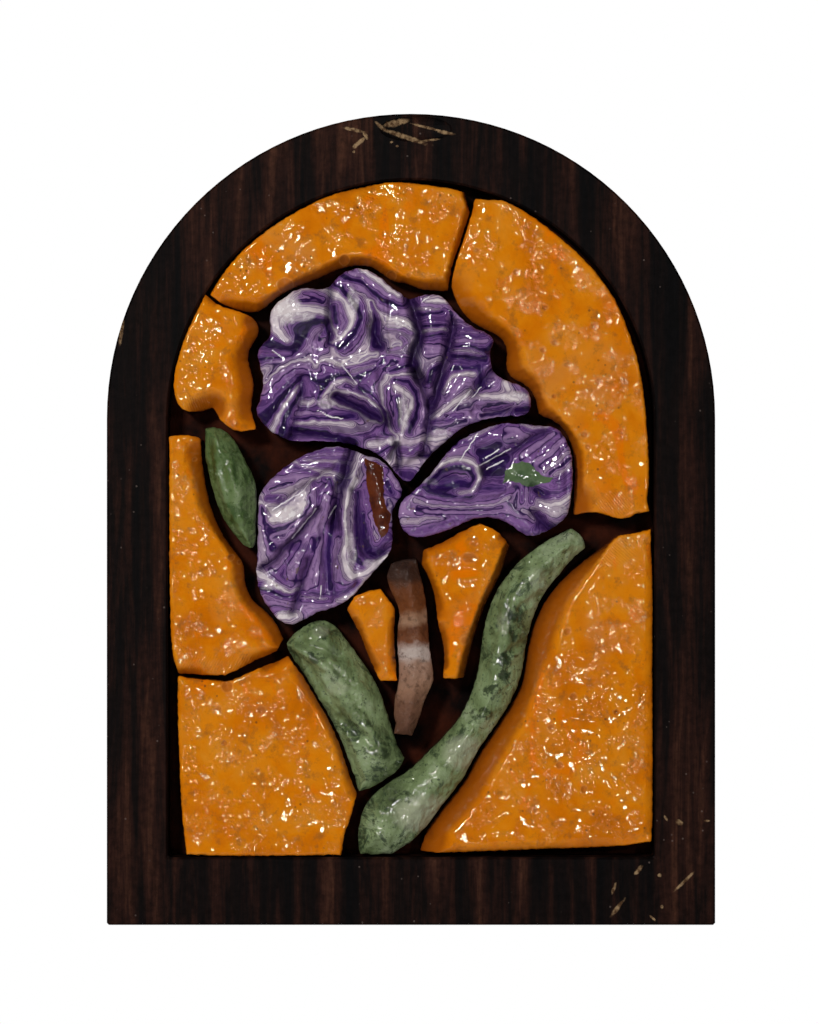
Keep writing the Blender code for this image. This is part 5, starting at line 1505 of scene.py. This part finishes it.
def dark_wood():
    """Near-black stained wood with an upright grain."""
    material, tree, shader, coords = start_material("stained_dark_wood")
    along = shifted(tree, coords, (0, 0, 0), (1, 1, 0.07))
    colour = ramp(tree, noise(tree, along, 210, 5, 0.65, 0.3), [
        (0.36, 8, 7, 8), (0.46, 18, 11, 10), (0.57, 41, 22, 17), (0.68, 68, 41, 30),
    ])
    mottle = noise(tree, coords, 500, 4, 0.7)
    mottle = ramp(tree, mottle, [(0.35, 190, 190, 190), (0.6, 255, 255, 255)])
    colour = mix(tree, 1.0, colour, mottle, "MULTIPLY")
    pore = add(tree, "TexVoronoi", {"Vector": coords, "Scale": 330.0}).outputs[0]
    rare = between(tree, noise(tree, coords, 160, 2), 0.48, 0.56)
    dust = times(tree, between(tree, pore, 0.1, 0.05), rare)
    colour = wash(tree, colour, dust, 0.45, (112, 98, 92))
    reach = OUT_OF_REACH
    for centre, half, turn in BARE_WOOD_AND_GLINTS:
        reach = math_node(tree, "MINIMUM", reach, oval(tree, coords, centre, half, turn))
    torn = times(tree, noise(tree, coords, 700, 3, 0.6), 1.2)
    wear_and_glints = between(tree, math_node(tree, "SUBTRACT", reach, torn), 0.5, 0.0)
    bare_and_glint_colour = ramp(tree, noise(tree, coords, 900, 3), [(0.38, 74, 52, 34), (0.64, 152, 126, 94)])
    colour = mix(tree, times(tree, wear_and_glints, 0.9), colour, bare_and_glint_colour)
    gloss(shader, 0.55, 0.03, 0.0, 0.25)
    pores = noise(tree, shifted(tree, coords, (0, 0, 0), (1, 1, 0.08)), 900, 4, 0.6)
    link_up(tree, shader, colour, bump(tree, pores, 0.5, 0.12 * MM))
    return material


def backing_wood():
    """Dark red-brown board under spilt varnish."""
    material, tree, shader, coords = start_material("stained_backing_wood")
    colour = ramp(tree, noise(tree, coords, 90, 4, 0.6), [(0.35, 10, 4, 3), (0.65, 58, 22, 9)])
    gloss(shader, 0.6, 0.03, 0.0, 0.1)
    skin = noise(tree, coords, 300, 4, 0.6)
    link_up(tree, shader, colour, bump(tree, skin, 0.4, 0.3 * MM))
    return material


for node, wood in (("frame", dark_wood()), ("backboard", backing_wood())):
    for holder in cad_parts[node].material_slots:
        holder.material = wood
    print(wood.name, "on the", node)

# %% [markdown]
# ## Light, floor and camera
#
# The picture was taken straight from the front against pure white. A strong soft light at the upper
# left and three faint small ones give the short, bright sparks on the varnish, and a dim white sky
# fills the shadows. Through a Light Path node the camera sees that sky as pure white. A narrow
# light from low behind shows the back.

# %% Lights and sky
WARM_WHITE = (1.0, 0.98, 0.96)
WHITE = (1, 1, 1, 1)
SKY_GLOW = 0.025


def hang_light(lamp, place_at):
    """Hang a light at its place and aim it at the panel."""
    holder = bpy.data.objects.new(lamp.name, lamp)
    holder.location = place_at
    aim = Vector((0, 0, 0)) - Vector(place_at)
    holder.rotation_euler = aim.to_track_quat("-Z", "Y").to_euler()
    bpy.context.scene.collection.objects.link(holder)
    return holder


def soft_light(name, place_at, size, power):
    """A square light that looks at the panel."""
    lamp = bpy.data.lights.new(name, "AREA")
    lamp.size = size
    lamp.energy = power
    lamp.color = WARM_WHITE
    hang_light(lamp, place_at)


soft_light("key_left", (-0.36, -1.02, 0.32), 0.13, 7.8)
soft_light("key_right", (0.42, -1.05, 0.14), 0.06, 1.2)
soft_light("near_camera", (-0.12, -1.15, 0.10), 0.035, 0.35)
soft_light("low_fill", (0.08, -1.12, -0.20), 0.05, 0.6)

back_lamp = bpy.data.lights.new("behind", "SPOT")
back_lamp.spot_size = math.radians(24)
back_lamp.spot_blend = 0.4
back_lamp.shadow_soft_size = 0.1
back_lamp.energy = 60
hang_light(back_lamp, (0.3, 0.95, -0.3)).visible_camera = False

world = bpy.data.worlds.new("white_studio")
bpy.context.scene.world = world
world.use_nodes = True
sky = world.node_tree
sky.nodes.clear()
seen = add(sky, "Background", {0: WHITE, 1: 1.0})
lighting = add(sky, "Background", {0: WHITE, 1: SKY_GLOW})
is_camera = add(sky, "LightPath").outputs["Is Camera Ray"]
choice = add(sky, "MixShader", {0: is_camera, 1: lighting.outputs[0], 2: seen.outputs[0]})
add(sky, "OutputWorld", {0: choice.outputs[0]})
print("lights:", [light.name for light in bpy.data.lights])

# %% [markdown]
# The floor is one flat sheet far below the panel. It glows a little for the camera alone, which
# keeps it pale without lighting the panel from below.

# %% Floor
FLOOR_LEVEL = -0.45
FLOOR_SIZE = 1.3
FLOOR_COLOUR = (0.8, 0.8, 0.79, 1)
FLOOR_GLOW = 0.85

bm = bmesh.new()
bmesh.ops.create_grid(bm, x_segments=2, y_segments=2, size=FLOOR_SIZE)
bmesh.ops.translate(bm, verts=bm.verts[:], vec=(0, 0, FLOOR_LEVEL))
floor_mesh = bpy.data.meshes.new("studio_floor")
bm.to_mesh(floor_mesh)
bm.free()
floor = bpy.data.objects.new("studio_floor", floor_mesh)
bpy.context.scene.collection.objects.link(floor)
floor_material, floor_tree, floor_shader, _ = start_material("pale_floor")
floor_shader.inputs["Base Color"].default_value = FLOOR_COLOUR
floor_shader.inputs["Roughness"].default_value = 0.8
floor_shader.inputs["Emission Color"].default_value = FLOOR_COLOUR
is_camera = add(floor_tree, "LightPath").outputs["Is Camera Ray"]
floor_tree.links.new(times(floor_tree, is_camera, FLOOR_GLOW), floor_shader.inputs["Emission Strength"])
floor_mesh.materials.append(floor_material)
print("the floor lies", -FLOOR_LEVEL, "m below the middle of the panel")

# %% [markdown]
# The camera stands a metre in front, square to the panel, which is far enough for the upright
# edges to look parallel. Its lens follows from the height that the picture takes in at the frame's
# front face.

# %% Camera
CAMERA_DISTANCE = 1.0
PICTURE_HEIGHT = 0.2524
SENSOR = 36

camera_data = bpy.data.cameras.new("camera")
camera_data.sensor_width = SENSOR
camera_data.lens = SENSOR * CAMERA_DISTANCE / PICTURE_HEIGHT
camera = bpy.data.objects.new("camera", camera_data)
camera.location = (-0.37 * MM, FRAME_FRONT - CAMERA_DISTANCE, 1.82 * MM)
camera.rotation_euler = (math.pi / 2, 0, 0)
bpy.context.scene.collection.objects.link(camera)
bpy.context.scene.camera = camera
bpy.context.scene.view_settings.view_transform = "Standard"
print("lens", round(camera_data.lens, 1), "mm")
